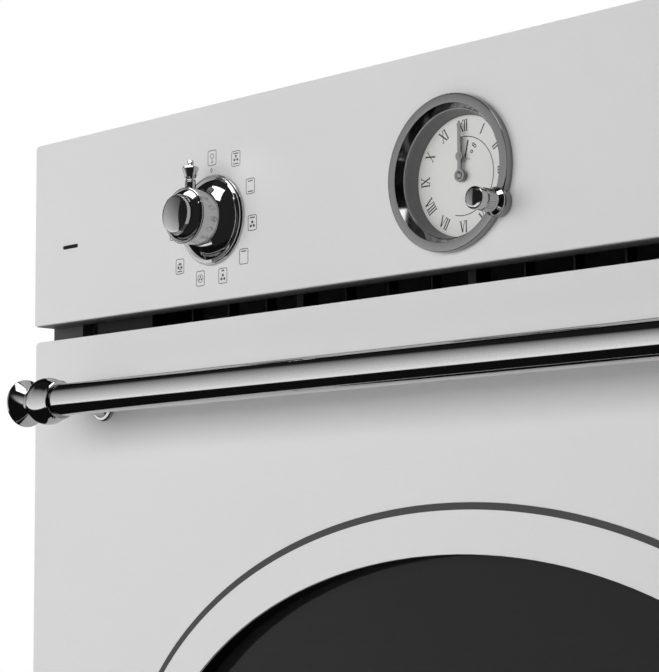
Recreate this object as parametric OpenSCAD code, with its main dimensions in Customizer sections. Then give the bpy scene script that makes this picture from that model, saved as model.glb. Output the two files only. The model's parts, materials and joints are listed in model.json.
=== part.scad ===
// Built-in oven with a bottom-hinged door, a bar handle, two turned knobs and a round clock.
// Millimetres. X runs across the front, Y runs from the front to the rear, Z runs up.
// The origin is the middle of the underside of the base.

/* [Front] */
// Width of the control panel and of the door
front_w = 597; // [592:1:600]
// Height from the underside of the base to the top of the control panel
front_h = 592; // [588:1:600]
// Depth from the face of the control panel to the rear cover
depth = 548; // [540:1:570]
// Height of the control panel
panel_h = 97.2; // [92:0.1:102]
// Depth of the folded edge of the control panel
panel_depth = 12.6; // [12:0.1:14]
// Thickness of the sheet of the control panel
panel_sheet = 2; // [1.5:0.1:2.5]
// Radius of the corners of the panel and of the door
corner_r = 2.5; // [1:0.5:5]
// Radius of the fold along the lower edge of the panel
fold_r = 3; // [1.5:0.5:4]
// Gap between the control panel and the door
front_gap = 8.7; // [7:0.1:10]
// Step back from the face of the panel to the face of the door
door_step = 0.9; // [0.5:0.1:1.5]

/* [Carcass] */
// Distance that the front stands past the carcass on each side
side_step = 22; // [20:0.5:24]
// Distance from the top of the front down to the top of the carcass
top_step = 12; // [8:1:16]
// Thickness of the folded steel sheets
sheet = 1.2; // [0.8:0.1:1.5]
// Distance from the face of the panel back to the front edge of the cabinet
cabinet_step = 21; // [20:0.5:23]
// Radius of the cabinet screw holes
cabinet_hole_r = 2.5; // [2:0.1:3]
// Height between the cabinet screw holes
cabinet_hole_pitch = 300; // [260:5:320]
// Radius of the cable inlet
inlet_r = 5.2; // [4:0.1:7]
// Radius of the shanks of the cover screws
screw_r = 1.9; // [1.5:0.1:2.2]

/* [Vents] */
// Pitch of the thin vanes
vane_pitch = 27.1; // [24:0.1:30]
// Number of vane pitches on each side of the middle
vanes_each_side = 7; // [5:1:7]
// A thick bar stands at every so many pitches
thick_every = 4; // [2:1:5]
// Thickness of a thin vane
vane_t = 1; // [0.8:0.1:1.5]
// Width of a thick bar
thick_bar_w = 4.6; // [3:0.1:6]
// Height of the vent openings
vent_h = 13; // [11:0.5:14]
// Set-back of the thin vanes behind the thick bars
vane_setback = 3.5; // [2:0.1:5]

/* [Door] */
// Height of the lower edge of the door
door_bottom = 4; // [3:0.5:6]
// Thickness of the outer sheet of the door
skin_t = 1.5; // [1.2:0.1:1.8]
// Depth of the folded edge of the outer sheet
skin_depth = 9; // [8.6:0.1:10]
// Depth of the whole door, from its face to the inner glass
door_depth = 38.8; // [37:0.1:41]
// Distance from the side of the front to the window opening
window_side = 94.4; // [90:0.1:105]
// Rise of the oval window above its widest line
window_up = 130.5; // [120:0.1:134]
// Fall of the oval window below its widest line
window_down = 120.5; // [110:0.1:124]
// Distance of the widest line of the window below the middle of the door
window_drop = 5.4; // [0:0.1:8]
// Half width of the dark line round the window
line_a = 223.1; // [218:0.1:230]
// Half height of the dark line round the window
line_b = 147.4; // [144:0.1:154]
// Width of the dark line
line_w = 2.1; // [1:0.1:3]
// Depth of the window reveal, from the face of the door to the glass
reveal = 10; // [9.6:0.1:11]
// Thickness of each pane of glass
glass_t = 4; // [3:0.5:4]
// Gap between the inner box of the door and the front frame
box_gap = 11.8; // [9:0.1:16]
// Height of the hinge pin above the lower edge of the door
hinge_up = 20; // [19:0.5:21]
// Distance from the face of the panel back to the hinge pin
hinge_back = 12.5; // [12:0.1:13]
// Radius of the hinge pin
hinge_pin_r = 3; // [2.5:0.1:3.5]
// Distance of each hinge in from the side of the carcass
hinge_inset = 30.3; // [28:0.1:40]

/* [Handle] */
// Radius of the bar
bar_r = 8.1; // [6.5:0.05:8.4]
// Wall of the bar
bar_wall = 1.5; // [1:0.1:2]
// Distance from the face of the panel out to the axis of the bar
bar_out = 35; // [32:0.5:40]
// Distance of the bar below the top of the front
bar_below = 142.9; // [135:0.1:150]
// Distance of each ball from the middle
ball_x = 240; // [230:1:245]
// Radius of each ball
ball_r = 11.9; // [11:0.1:13]
// Radius of the flared end pieces
flare_r = 12; // [10:0.1:13]
// Radius of the posts
post_r = 5; // [4.5:0.1:6]

/* [Knobs] */
// Distance of each knob from the middle
knob_x = 155.6; // [145:0.2:165]
// Distance of the knobs below the top of the front
knob_below = 57.5; // [52:0.1:60]
// Radius of the flange under each knob
rosette_r = 22.2; // [21.5:0.1:24]
// Radius of the body of each knob
knob_r = 13.4; // [12.5:0.1:13.6]
// Radius of the button on the front of each knob
button_r = 9.05; // [8:0.05:9.5]
// Distance from the panel out to the face of the button
knob_out = 26.2; // [25:0.1:28]
// Radius of the switch spindles
spindle_r = 3; // [2.5:0.1:3.5]

/* [Clock] */
// Distance of the clock below the top of the front
clock_below = 56.4; // [52:0.1:57]
// Outer radius of the clock ring
ring_r = 34.8; // [34:0.1:36]
// Inner radius of the flat front of the clock ring
ring_inner_r = 30.6; // [30.2:0.1:31]
// Distance that the clock ring stands out from the panel
ring_out = 4; // [3:0.1:5]
// Radius of the dial that shows
dial_r = 26.8; // [26.2:0.1:27.4]
// Length of the minute hand
minute_l = 22.5; // [18:0.1:24]
// Length of the hour hand
hour_l = 16; // [12:0.1:18]
// Distance of the setting knob from the middle of the clock
setter_r = 32.3; // [31.7:0.1:32.8]
// Angle of the setting knob below the horizontal
setter_angle = 30.5; // [10:0.5:40]

/* [Cavity] */
// Space between the cavity and each side of the carcass
side_space = 46.5; // [45:0.5:56]
// Inside height of the cavity
cavity_h = 345; // [335:1:350]
// Space between the rear wall of the cavity and the rear of the oven
rear_space = 94; // [88:1:104]
// Thickness of the enamelled walls
cavity_t = 2; // [1.5:0.1:2.5]
// Height of the lowest rack level above the floor of the cavity
first_level = 45; // [42:1:50]
// Pitch of the rack levels
level_pitch = 58; // [54:1:60]
// Number of rack levels
levels = 4; // [4:1:5]
// Radius of the rack wires
wire_r = 2; // [1.5:0.1:2.2]
// Pitch of the bars of the shelf
shelf_pitch = 22; // [18:1:26]
// Radius of the heating tubes
tube_r = 3.25; // [3:0.05:4]
// Radius of the convection fan
fan_r = 75; // [65:1:80]
// Number of blades of the convection fan
fan_blades = 10; // [8:1:12]

/* [Hidden] */
$fn = 72;

// Clearance between pieces that seat on each other
clear = 0.3;
// Radial clearance of a running fit
running = 0.05;
// Extra length that carries a cut past a face
over = 1;

// The carcass inside the outline of the front
carcass_w = front_w - 2 * side_step;
carcass_h = front_h - top_step;

// Levels of the front, in Z
panel_bottom = front_h - panel_h;
panel_mid = front_h - panel_h / 2;
door_top = panel_bottom - front_gap;
door_h = door_top - door_bottom;
door_mid = (door_top + door_bottom) / 2;
knob_z = front_h - knob_below;
clock_z = front_h - clock_below;
bar_z = front_h - bar_below;

// Planes of the front, in Y
face_y = -depth / 2;
rear_y = depth / 2;
door_y = face_y + door_step;
frame_y = face_y + panel_depth + clear;
seat_y = face_y + cabinet_step;
glass_y = door_y + reveal;
door_back_y = door_y + door_depth;
seal_gap = 4.3;
mouth_y = door_back_y + seal_gap;

// The hinge, and the circle that the lower corner of the door sweeps round it
hinge_y = face_y + hinge_back;
hinge_z = door_bottom + hinge_up;
swing_r = norm([hinge_y - door_y, hinge_up]);
lower_y = hinge_y + swing_r + over;
frame_bottom = hinge_z + swing_r + 3 * over;

// The sides of the carcass, and the opening in the front frame
side_inner = carcass_w / 2 - sheet;
rebate_x = side_inner - clear - sheet;
hinge_x = side_inner - hinge_inset;

// The inner box of the door
box_w = 2 * (rebate_x - box_gap);
box_t = 1.5;
box_bottom = frame_bottom + 4;
box_top = door_top - 6;
trim_h = 2;
flange_y = door_y + skin_depth - box_t;
box_front_y = flange_y + box_t;
inner_glass_y = door_back_y - glass_t;
pane_space = 7.7;
middle_glass_y = inner_glass_y - glass_t - pane_space;
window_z = door_mid - window_drop;
seal_w = 4;
pane_side = 14;
window_a = front_w / 2 - window_side;
pane_w = 2 * (window_a + pane_side);
pane_top = window_z + window_up + pane_side;
pane_bottom = window_z - window_down - pane_side;

// Levels and planes of the cooling duct and of the rear
frame_t = 1.5;
duct_bottom = door_top - 1.1;
duct_h = 20;
duct_top = duct_bottom + duct_h;
shield_z = duct_bottom - clear - sheet;
duct_half = rebate_x - 13;
duct_y = frame_y + sheet + clear;
chamber_y = rear_y - 44;
cover_y = rear_y - sheet;

// The cavity
floor_z = frame_bottom + 26;
ceiling_z = floor_z + cavity_h;
back_y = rear_y - rear_space;
wall_x = carcass_w / 2 - side_space;
fan_z = (floor_z + ceiling_z) / 2;
baffle_y = back_y - 36;
baffle_w = 360;
baffle_h = 240;
fan_y = back_y - 25;
fan_depth = 20;
motor_y = back_y + cavity_t + 30;
insulation_t = 26;
wire_x = wall_x - 6;
rail_x = wire_x - 2 * wire_r + 0.2;
rail_gap = 14;
rail_front = mouth_y + 8;
rail_back = baffle_y - 12;
shelf_front = mouth_y + 22;
shelf_back = baffle_y - 16;
shelf_rod_r = 3;
shelf_half = wire_x - wire_r - clear - shelf_rod_r;
shelf_level = 2;
shelf_z = floor_z + first_level + shelf_level * level_pitch + wire_r + clear + shelf_rod_r;
tray_z = floor_z + first_level + wire_r + clear;
tray_drop = 34;
tray_t = 1.2;

// The clock, as distances out from the face of the panel
lip_out = -0.7;
dial_in = 7;
barrel_r = ring_inner_r - 0.2;
setter_x = setter_r * cos(setter_angle);
setter_z = clock_z - setter_r * sin(setter_angle);
dial_t = 0.8;
hand_t = 0.5;
minute_in = 4.7;
hour_in = 5.7;
arbor_r = 1;
tube_arbor_r = 2;
stem_r = 0.8;
stem_in = 3.1;

// Cross-sections and placing

// Outline of a rectangle with rounded corners, about the origin
module round_rect(w, h, r) {
    square([w - 2 * r, h], center = true);
    square([w, h - 2 * r], center = true);
    for (x = [-1, 1], z = [-1, 1])
        translate([x * (w / 2 - r), z * (h / 2 - r)]) circle(r = r);
}

// An outline in X and Z, extruded to the rear from y
module along_y(y, length) {
    translate([0, y + length, 0]) rotate([90, 0, 0]) linear_extrude(length) children();
}

// An outline in Y and Z, extruded across from x
module along_x(x, length) {
    translate([x, 0, 0]) rotate([90, 0, 90]) linear_extrude(length) children();
}

// A block from its lowest corner to its highest corner
module block(a, b) {
    translate(a) cube(b - a);
}

// Round rods along each axis
module rod_x(x, y, z, r, length) {
    translate([x, y, z]) rotate([0, 90, 0]) cylinder(r = r, h = length);
}
module rod_y(x, y, z, r, length) {
    translate([x, y + length, z]) rotate([90, 0, 0]) cylinder(r = r, h = length);
}
module rod_z(x, y, z, r, length) {
    translate([x, y, z]) cylinder(r = r, h = length);
}

// Turns an outline of radius and distance out about an axis that points to the front
module turned_front(x, z) {
    translate([x, face_y, z]) rotate([90, 0, 0]) rotate_extrude() children();
}

// A half bend of tube that joins two runs in a level plane, open towards -Y or +Y
module half_bend(x, y, z, bend_r, r, turn) {
    translate([x, y, z]) rotate([0, 0, turn]) rotate_extrude(angle = 180)
        translate([bend_r, 0]) circle(r = r, $fn = 24);
}

// Both sides of the oven, with the left side made by mirroring the right one
module both_sides() {
    children();
    mirror([1, 0, 0]) children();
}

// Points of the oval, whose upper and lower halves may differ
function oval(a, up, down, n = 144) = [
    for (i = [0 : n - 1]) let (t = 360 * i / n) [a * cos(t), (sin(t) >= 0 ? up : down) * sin(t)]
];

// The window outline, larger all round by grow
module window_outline(grow) {
    translate([0, window_z]) polygon(oval(window_a + grow, window_up + grow, window_down + grow));
}

// The band of the dark line, narrower by slack
module line_outline(slack) {
    translate([0, door_mid]) difference() {
        polygon(oval(line_a - slack, line_b - slack, line_b - slack));
        polygon(oval(line_a - line_w + slack, line_b - line_w + slack, line_b - line_w + slack));
    }
}

// Control panel and what it carries

slot_w = 12.7;
slot_h = 2;
slot_inset = 30;
slot_x = slot_inset - front_w / 2;
lens_gap = 0.15;
knob_hole_r = spindle_r + 2;
rosette_t = 1.4;
switch_w = 42;
switch_d = 36;

// Side profile of the panel, with its soft lower fold
module panel_profile() {
    difference() {
        translate([face_y, panel_bottom]) square([panel_depth, panel_h]);
        translate([face_y - over, panel_bottom - over]) square([fold_r + over, fold_r + over]);
    }
    translate([face_y + fold_r, panel_bottom + fold_r]) circle(r = fold_r);
}

module control_panel() {
    color("whitesmoke") difference() {
        intersection() {
            along_y(face_y, panel_depth) translate([0, panel_mid]) round_rect(front_w, panel_h, corner_r);
            along_x(-front_w / 2, front_w) panel_profile();
        }
        block([-front_w / 2 + panel_sheet, face_y + panel_sheet, panel_bottom + panel_sheet],
              [front_w / 2 - panel_sheet, face_y + panel_depth + over, front_h - panel_sheet]);
        for (x = [-knob_x, knob_x])
            rod_y(x, face_y - over, knob_z, knob_hole_r, panel_sheet + 2 * over);
        rod_y(0, face_y - over, clock_z, barrel_r + clear, panel_sheet + 2 * over);
        along_y(face_y - over, panel_sheet + 2 * over)
            translate([slot_x, knob_z]) round_rect(slot_w, slot_h, slot_h / 2 - lens_gap);
    }
}

module panel_bracket() {
    inset = panel_sheet + clear;
    color("silver") difference() {
        block([-front_w / 2 + inset, face_y + panel_depth - sheet, panel_bottom + inset],
              [front_w / 2 - inset, face_y + panel_depth, front_h - inset]);
        for (x = [-knob_x, knob_x])
            rod_y(x, face_y, knob_z, knob_hole_r, panel_depth + over);
        rod_y(0, face_y, clock_z, barrel_r - 2, panel_depth + over);
    }
}

module indicator_lens() {
    color("dimgray") along_y(face_y + clear, panel_depth - sheet - 2 * clear)
        translate([slot_x, knob_z])
            round_rect(slot_w - 2 * lens_gap, slot_h - 2 * lens_gap, slot_h / 2 - 2 * lens_gap);
}

// The turned flange behind each knob, with a small chamfer round its edge
module knob_rosettes() {
    chamfer = 0.3;
    color("silver") both_sides() turned_front(knob_x, knob_z) polygon([
        [knob_hole_r, 0], [rosette_r, 0], [rosette_r, rosette_t - chamfer],
        [rosette_r - chamfer, rosette_t], [knob_hole_r, rosette_t]
    ]);
}

// Outline of the knob: skirt, dome, body, bead, step and button
module knob_profile() {
    skirt_r = rosette_r - 0.8;
    skirt_low = rosette_t + clear;
    skirt_high = skirt_low + 0.8;
    bevel_high = skirt_high + 1.3;
    dome_r = 7.75;
    dome_x = skirt_r - 9;
    dome_high = 8.6;
    bead_r = 0.8;
    body_high = 19.2;
    step_high = 21.4;
    polygon([
        [0, skirt_low], [skirt_r, skirt_low], [skirt_r, skirt_high], [skirt_r - 1.8, bevel_high],
        [0, bevel_high]
    ]);
    intersection() {
        translate([dome_x, 1]) circle(r = dome_r);
        translate([0, skirt_high]) square([skirt_r, dome_r]);
    }
    translate([0, skirt_high]) square([dome_x, dome_high - skirt_high]);
    translate([0, skirt_high]) square([knob_r, body_high - skirt_high]);
    translate([knob_r - 0.1, body_high - bead_r]) circle(r = bead_r);
    translate([0, skirt_high]) square([button_r + 3.4, body_high + 0.9 - skirt_high]);
    translate([0, skirt_high]) square([button_r + 1.5, step_high + 0.2 - skirt_high]);
    translate([0, skirt_high]) square([button_r, knob_out - bead_r - skirt_high]);
    translate([0, skirt_high]) square([button_r - bead_r, knob_out - skirt_high]);
    translate([button_r - bead_r, knob_out - bead_r]) circle(r = bead_r);
}

// Half outline of the pointer on the knob, as radius and height above the spindle axis
function pointer_profile() = [
    [0, 0], [2.95, 0], [2.95, 14.2], [2.5, 16.6], [3, 17.1], [3, 18], [2.3, 18.5], [2.45, 18.9],
    [4.05, 24.2], [3.6, 24.9], [1, 25.5], [0, 25.5]
];

// A knob with its pointer, which ends in a small ball, and its spindle
module knob_on_spindle() {
    pointer_out = 15;
    pointer_ball_r = 1.6;
    pointer_h = 26.3;
    spindle_in = 2;
    turned_front(knob_x, knob_z) knob_profile();
    translate([knob_x, face_y - pointer_out, knob_z]) {
        difference() {
            rotate_extrude() polygon(pointer_profile());
            translate([0, 0, -over]) cylinder(r = 2 * knob_r, h = knob_r - 2);
        }
        translate([0, 0, pointer_h]) sphere(r = pointer_ball_r);
    }
    rod_y(knob_x, face_y - spindle_in, knob_z, spindle_r, frame_y - face_y + switch_d / 2 + spindle_in);
}

module selector_knob() {
    color("lightgray") mirror([1, 0, 0]) knob_on_spindle();
}

module thermostat_knob() {
    color("lightgray") knob_on_spindle();
}

// The rotary switch on the left and the thermostat on the right
module panel_switches() {
    color("dimgray") both_sides() difference() {
        union() {
            block([knob_x - switch_w / 2, frame_y + clear, knob_z - switch_w / 2],
                  [knob_x + switch_w / 2, frame_y + switch_d, knob_z + switch_w / 2]);
            for (z = [-12, 0, 12], x = [-10, 10])
                block([knob_x + x - 3, frame_y + switch_d - over, knob_z + z - 0.4],
                      [knob_x + x + 3, frame_y + switch_d + 8, knob_z + z + 0.4]);
        }
        rod_y(knob_x, frame_y - over, knob_z, spindle_r + running, switch_d / 2 + 2 + over);
    }
}

// Outline of the clock ring: flat front, stepped funnel and barrel
module bezel_profile() {
    funnel_r = dial_r + 0.4;
    polygon([
        [ring_r, 0], [ring_r, ring_out - 0.4], [ring_r - 0.4, ring_out], [ring_inner_r, ring_out],
        [ring_inner_r - 1, lip_out], [ring_inner_r - 1.4, lip_out], [funnel_r, -dial_in + 1],
        [funnel_r, -dial_in], [dial_r + 1.3, -dial_in], [dial_r + 1.3, -dial_in - 4],
        [barrel_r, -dial_in - 4], [barrel_r, 0]
    ]);
}

// The ring with the lug that carries the setting knob
module clock_bezel() {
    lug_r = 6.5;
    color("silver") difference() {
        union() {
            turned_front(0, clock_z) bezel_profile();
            difference() {
                rod_y(setter_x, face_y - ring_out, setter_z, lug_r, ring_out);
                rod_y(0, face_y - ring_out - over, clock_z, ring_inner_r + 0.2, ring_out + 2 * over);
            }
        }
        rod_y(setter_x, face_y - ring_out - over, setter_z, stem_r + running, stem_in + clear + over);
    }
}

module clock_glass() {
    color([0.9, 0.95, 1, 0.3]) rod_y(0, face_y + 1, clock_z, ring_inner_r - 2.1, 0.8);
}

module clock_dial() {
    color("ivory") difference() {
        rod_y(0, face_y + dial_in, clock_z, dial_r + 1, dial_t);
        rod_y(0, face_y, clock_z, tube_arbor_r + running, 3 * dial_in);
    }
}

// The drive behind the dial, with nested bores for the two arbors
module clock_movement() {
    front = face_y + dial_in + dial_t + clear;
    color("dimgray") difference() {
        union() {
            rod_y(0, front, clock_z, dial_r + 1, 4);
            rod_y(0, front, clock_z, dial_r - 2, 24);
        }
        rod_y(0, front - over, clock_z, tube_arbor_r + running, 10 + over);
        rod_y(0, front, clock_z, arbor_r + running, 20);
    }
}

// A hand that points up, with a round boss in its length, seen as an outline about the clock axis
module hand_outline(length, boss_at) {
    hub_r = 2.9;
    shaft_w = 1.8;
    boss_r = 1.9;
    tip_r = 1.3;
    circle(r = hub_r);
    translate([-shaft_w / 2, 0]) square([shaft_w, length]);
    translate([0, boss_at]) circle(r = boss_r);
    translate([0, length - 0.4]) circle(r = tip_r);
}

module minute_hand() {
    color("gray") {
        along_y(face_y + minute_in, hand_t) translate([0, clock_z]) hand_outline(minute_l, 8.6);
        rod_y(0, face_y + minute_in - clear, clock_z, arbor_r, 20);
    }
}

module hour_hand() {
    color("gray") difference() {
        union() {
            along_y(face_y + hour_in, hand_t) translate([0, clock_z]) hand_outline(hour_l, 7.4);
            rod_y(0, face_y + hour_in, clock_z, tube_arbor_r, 11);
        }
        rod_y(0, face_y, clock_z, arbor_r + running, 24);
    }
}

// A knurled body on a flange, with a groove below its disc, and a stem into the lug
module clock_setting_knob() {
    flange_r = 6.2;
    body_r = 4.7;
    cap_r = 4.9;
    edge_r = 0.6;
    rib_low = 3.8;
    rib_l = 4.4;
    ribs = 24;
    cap_low = 9.4;
    cap_high = 14;
    color("silver") {
        turned_front(setter_x, setter_z) translate([0, ring_out + clear]) {
            square([flange_r, 1]);
            polygon([[0, 1], [flange_r - 0.4, 1], [cap_r, rib_low - 0.2], [0, rib_low - 0.2]]);
            square([body_r, rib_low + rib_l + 0.2]);
            square([body_r - 0.5, cap_low + edge_r]);
            translate([0, cap_low]) square([cap_r, cap_high - cap_low - edge_r]);
            translate([0, cap_low]) square([cap_r - edge_r, cap_high - cap_low]);
            translate([cap_r - edge_r, cap_high - edge_r]) circle(r = edge_r);
        }
        for (i = [0 : ribs - 1])
            translate([setter_x, face_y - ring_out - clear, setter_z]) rotate([0, 360 * i / ribs, 0])
                translate([-0.3, -rib_low - rib_l, body_r - 0.3]) cube([0.6, rib_l, 0.7]);
        rod_y(setter_x, face_y - ring_out - over, setter_z, stem_r, stem_in + over);
    }
}

// Front frame, vents and cooling air

module front_frame() {
    top = front_h - 4;
    column_y = frame_y + frame_t;
    rail_z = duct_top + 2;
    edge_step = 1;
    color([0.16, 0.16, 0.17]) difference() {
        union() {
            block([-front_w / 2, frame_y, frame_bottom], [front_w / 2, seat_y, top]);
            both_sides() block([rebate_x, frame_y, frame_bottom],
                               [rebate_x + sheet, mouth_y - clear, shield_z]);
        }
        // The space behind the front wall of each column
        both_sides() block([rebate_x + sheet, column_y, frame_bottom - over],
                           [front_w / 2 - frame_t, seat_y + over, top - frame_t]);
        // The opening for the door box and the vents
        block([-rebate_x, frame_y - over, frame_bottom - over], [rebate_x, seat_y + over, rail_z]);
        // The window behind the control panel, for the switches and the clock
        block([-knob_x - 60, frame_y - over, knob_z - 25], [knob_x + 60, seat_y + over, knob_z + 33]);
        // The hollow back of the top rail
        block([-rebate_x, column_y, rail_z + frame_t], [rebate_x, seat_y + over, top - frame_t]);
        // The inner edges stand short, so that only the outer edges meet the cabinet
        block([-front_w / 2 + frame_t, seat_y - edge_step, shield_z],
              [front_w / 2 - frame_t, seat_y + over, top - frame_t]);
        // Holes for the cabinet screws
        for (z = [-0.5, 0.5])
            both_sides() rod_y(cabinet_hole_x, frame_y - over, cabinet_hole_z + z * cabinet_hole_pitch,
                               cabinet_hole_r, frame_t + 2 * over);
    }
}
cabinet_hole_x = (rebate_x + front_w / 2) / 2;
cabinet_hole_z = door_mid;

module vent_grille() {
    opening_z = duct_bottom + 2;
    half = vanes_each_side * vane_pitch + vane_pitch / 4;
    depth_in = 10;
    color([0.12, 0.12, 0.12]) {
        difference() {
            union() {
                block([-duct_half, frame_y, duct_bottom], [duct_half, frame_y + sheet, duct_top]);
                block([-half - 1, frame_y, opening_z - 0.8],
                      [half + 1, frame_y + depth_in, opening_z + vent_h + 0.8]);
            }
            block([-half, frame_y - over, opening_z], [half, frame_y + depth_in + over, opening_z + vent_h]);
        }
        for (i = [-vanes_each_side : vanes_each_side]) {
            thick = i % thick_every == 0;
            w = thick ? thick_bar_w : vane_t;
            front = thick ? 0 : vane_setback;
            block([i * vane_pitch - w / 2, frame_y + front, opening_z - 0.4],
                  [i * vane_pitch + w / 2, frame_y + depth_in, opening_z + vent_h + 0.4]);
        }
    }
}

blower_y = back_y - 20;
blower_r = 45;
blower_h = 30;
scroll_in = 54;
scroll_out = 80;
scroll_cut_y = blower_y - blower_r - 5;
snout_x = 22;
snout_y = blower_y - 72;
blower_low = duct_bottom + 2 * sheet + clear;
blower_high = duct_bottom + sheet + clear + blower_h;

// Plan of the duct: wide behind the vents and narrow at the blower, inset by t
module duct_plan(t) {
    wide = duct_half - t;
    polygon([
        [-wide, duct_y - (t > 0 ? over : 0)], [wide, duct_y - (t > 0 ? over : 0)], [wide, mouth_y + 30],
        [scroll_out + sheet + clear + sheet - t, snout_y + 9 + (t > 0 ? over : 0)],
        [snout_x - sheet - clear - sheet + t, snout_y + 9 + (t > 0 ? over : 0)], [-wide, mouth_y + 30]
    ]);
}

module air_duct() {
    color("silver") difference() {
        translate([0, 0, duct_bottom]) linear_extrude(duct_h) duct_plan(0);
        translate([0, 0, duct_bottom + sheet]) linear_extrude(duct_h - 2 * sheet) duct_plan(sheet);
    }
}

// Plan of the blower's scroll, which widens round to its outlet
module scroll_plan(grow) {
    translate([0, blower_y]) {
        polygon([
            for (a = [0 : 6 : 354])
                (scroll_out - (scroll_out - scroll_in) * a / 360 + grow) * [cos(a), sin(a)]
        ]);
        translate([snout_x - grow, snout_y - blower_y + (grow > 0 ? 0 : -over)])
            square([scroll_out - snout_x + 2 * grow, blower_y - snout_y]);
    }
}

// The part of that plan that stands higher than the duct
module scroll_rear_plan(grow, inset) {
    reach = scroll_out + over + grow;
    intersection() {
        scroll_plan(grow);
        translate([-reach, scroll_cut_y + inset]) square([2 * reach, 2 * reach]);
    }
}

module blower_housing() {
    low = duct_bottom + sheet + clear;
    snout_h = duct_h - 2 * (sheet + clear);
    intake_r = blower_r - 6;
    color("gainsboro") difference() {
        union() {
            translate([0, 0, low]) linear_extrude(snout_h) scroll_plan(sheet);
            translate([0, 0, low]) linear_extrude(blower_h) scroll_rear_plan(sheet, 0);
        }
        translate([0, 0, low + sheet]) linear_extrude(snout_h - 2 * sheet) scroll_plan(0);
        translate([0, 0, low + sheet]) linear_extrude(blower_h - 2 * sheet) scroll_rear_plan(0, sheet);
        rod_z(0, blower_y, blower_high - 2 * sheet, intake_r, 4 * sheet);
    }
}

module blower_motor() {
    low = blower_high + clear;
    arm_w = 10;
    color("dimgray") difference() {
        union() {
            rod_z(0, blower_y, low, 20, 24);
            for (a = [90, 210, 330])
                translate([0, blower_y, low]) rotate([0, 0, a]) translate([0, -arm_w / 2, 0])
                    cube([blower_r, arm_w, 2]);
        }
        rod_z(0, blower_y, low - over, spindle_r + running, 20);
    }
}

module blower_impeller() {
    low = blower_low + 2;
    blades = 16;
    blade_l = 14;
    blade_h = 18;
    color("gray") {
        rod_z(0, blower_y, low, blower_r - 2, 1);
        rod_z(0, blower_y, low, 8, blade_h + 2);
        rod_z(0, blower_y, low, spindle_r, blower_high + 16 - low);
        for (i = [0 : blades - 1])
            translate([0, blower_y, low]) rotate([0, 0, 360 * i / blades]) translate([blower_r - 3, 0, 0])
                rotate([0, 0, 25]) translate([-blade_l, -0.5, 0]) cube([blade_l, 1, blade_h]);
    }
}

// Carcass

screw_x = side_inner - 7;
screw_z = [40, carcass_h / 2, carcass_h - 40];

module base_plate() {
    color("silver") difference() {
        union() {
            block([-carcass_w / 2, lower_y, 0], [carcass_w / 2, rear_y, sheet]);
            // The raised front, which closes the body below the cavity
            block([-side_inner + clear, lower_y, 0], [side_inner - clear, lower_y + sheet, frame_bottom]);
            block([-side_inner + clear, lower_y, frame_bottom - sheet],
                  [side_inner - clear, mouth_y - clear, frame_bottom]);
        }
        both_sides() block([hinge_x - 5, lower_y - over, hinge_z - 11],
                           [hinge_x + 5, lower_y + sheet + over, hinge_z + 11]);
    }
}

module side_outline() {
    polygon([
        [seat_y + clear, frame_bottom], [seat_y + clear, carcass_h], [rear_y, carcass_h],
        [rear_y, sheet + clear], [lower_y, sheet + clear], [lower_y, frame_bottom]
    ]);
}

module side_panels() {
    color("silver") both_sides() difference() {
        union() {
            along_x(side_inner, sheet) side_outline();
            // The rear edge turned in, for the cover screws
            block([side_inner - 14, cover_y - clear - sheet, sheet + clear],
                  [side_inner + sheet, cover_y - clear, carcass_h - sheet - clear]);
        }
        for (z = screw_z)
            rod_y(screw_x, cover_y - clear - 2 * sheet, z, screw_r + 0.1, 4 * sheet);
    }
}

module top_cover() {
    color("silver") difference() {
        union() {
            block([-side_inner + clear, seat_y + clear, carcass_h - sheet],
                  [side_inner - clear, cover_y - clear, carcass_h]);
            block([-side_inner + clear, seat_y + clear, carcass_h - 12],
                  [side_inner - clear, seat_y + clear + sheet, carcass_h]);
        }
        for (i = [-4 : 4])
            block([i * 24 - 4, blower_y - 30, carcass_h - 2 * sheet],
                  [i * 24 + 4, blower_y + 30, carcass_h + over]);
    }
}

inlet_inset = 66.5;
inlet_up = 56;
inlet_x = carcass_w / 2 - inlet_inset;
inlet_z = shield_z + inlet_up;

module rear_cover() {
    half = side_inner - clear;
    louvre_pitch = 16;
    louvre_w = 5;
    color("silver") difference() {
        block([-half, cover_y, sheet + clear], [half, rear_y, carcass_h - clear]);
        both_sides() for (z = screw_z)
            rod_y(screw_x, cover_y - over, z, screw_r + clear, sheet + 2 * over);
        rod_y(inlet_x, cover_y - over, inlet_z, inlet_r + 5, sheet + 2 * over);
        // Louvre slots behind the fan motor and the blower
        for (i = [-6 : 6], z = [fan_z, inlet_z])
            along_y(cover_y - over, sheet + 2 * over)
                translate([i * louvre_pitch, z])
                    round_rect(louvre_w, z == fan_z ? 60 : 36, louvre_w / 2 - 0.1);
    }
}

module cover_screws() {
    front = cover_y - clear - sheet - 4;
    color("silver") both_sides() for (z = screw_z) {
        rod_y(screw_x, front, z, screw_r, rear_y - front);
        rod_y(screw_x, rear_y, z, screw_r + 2.1, 2);
    }
}

module cable_gland() {
    nut_l = 8;
    color([0.15, 0.15, 0.15]) difference() {
        union() {
            rod_y(inlet_x, cover_y - nut_l, inlet_z, inlet_r + 5 - clear, nut_l + sheet);
            rod_y(inlet_x, rear_y, inlet_z, inlet_r + 8, 3);
            rod_y(inlet_x, cover_y - nut_l, inlet_z, inlet_r + 8, nut_l - clear);
        }
        rod_y(inlet_x, cover_y - nut_l - over, inlet_z, inlet_r, 20);
    }
}

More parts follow.
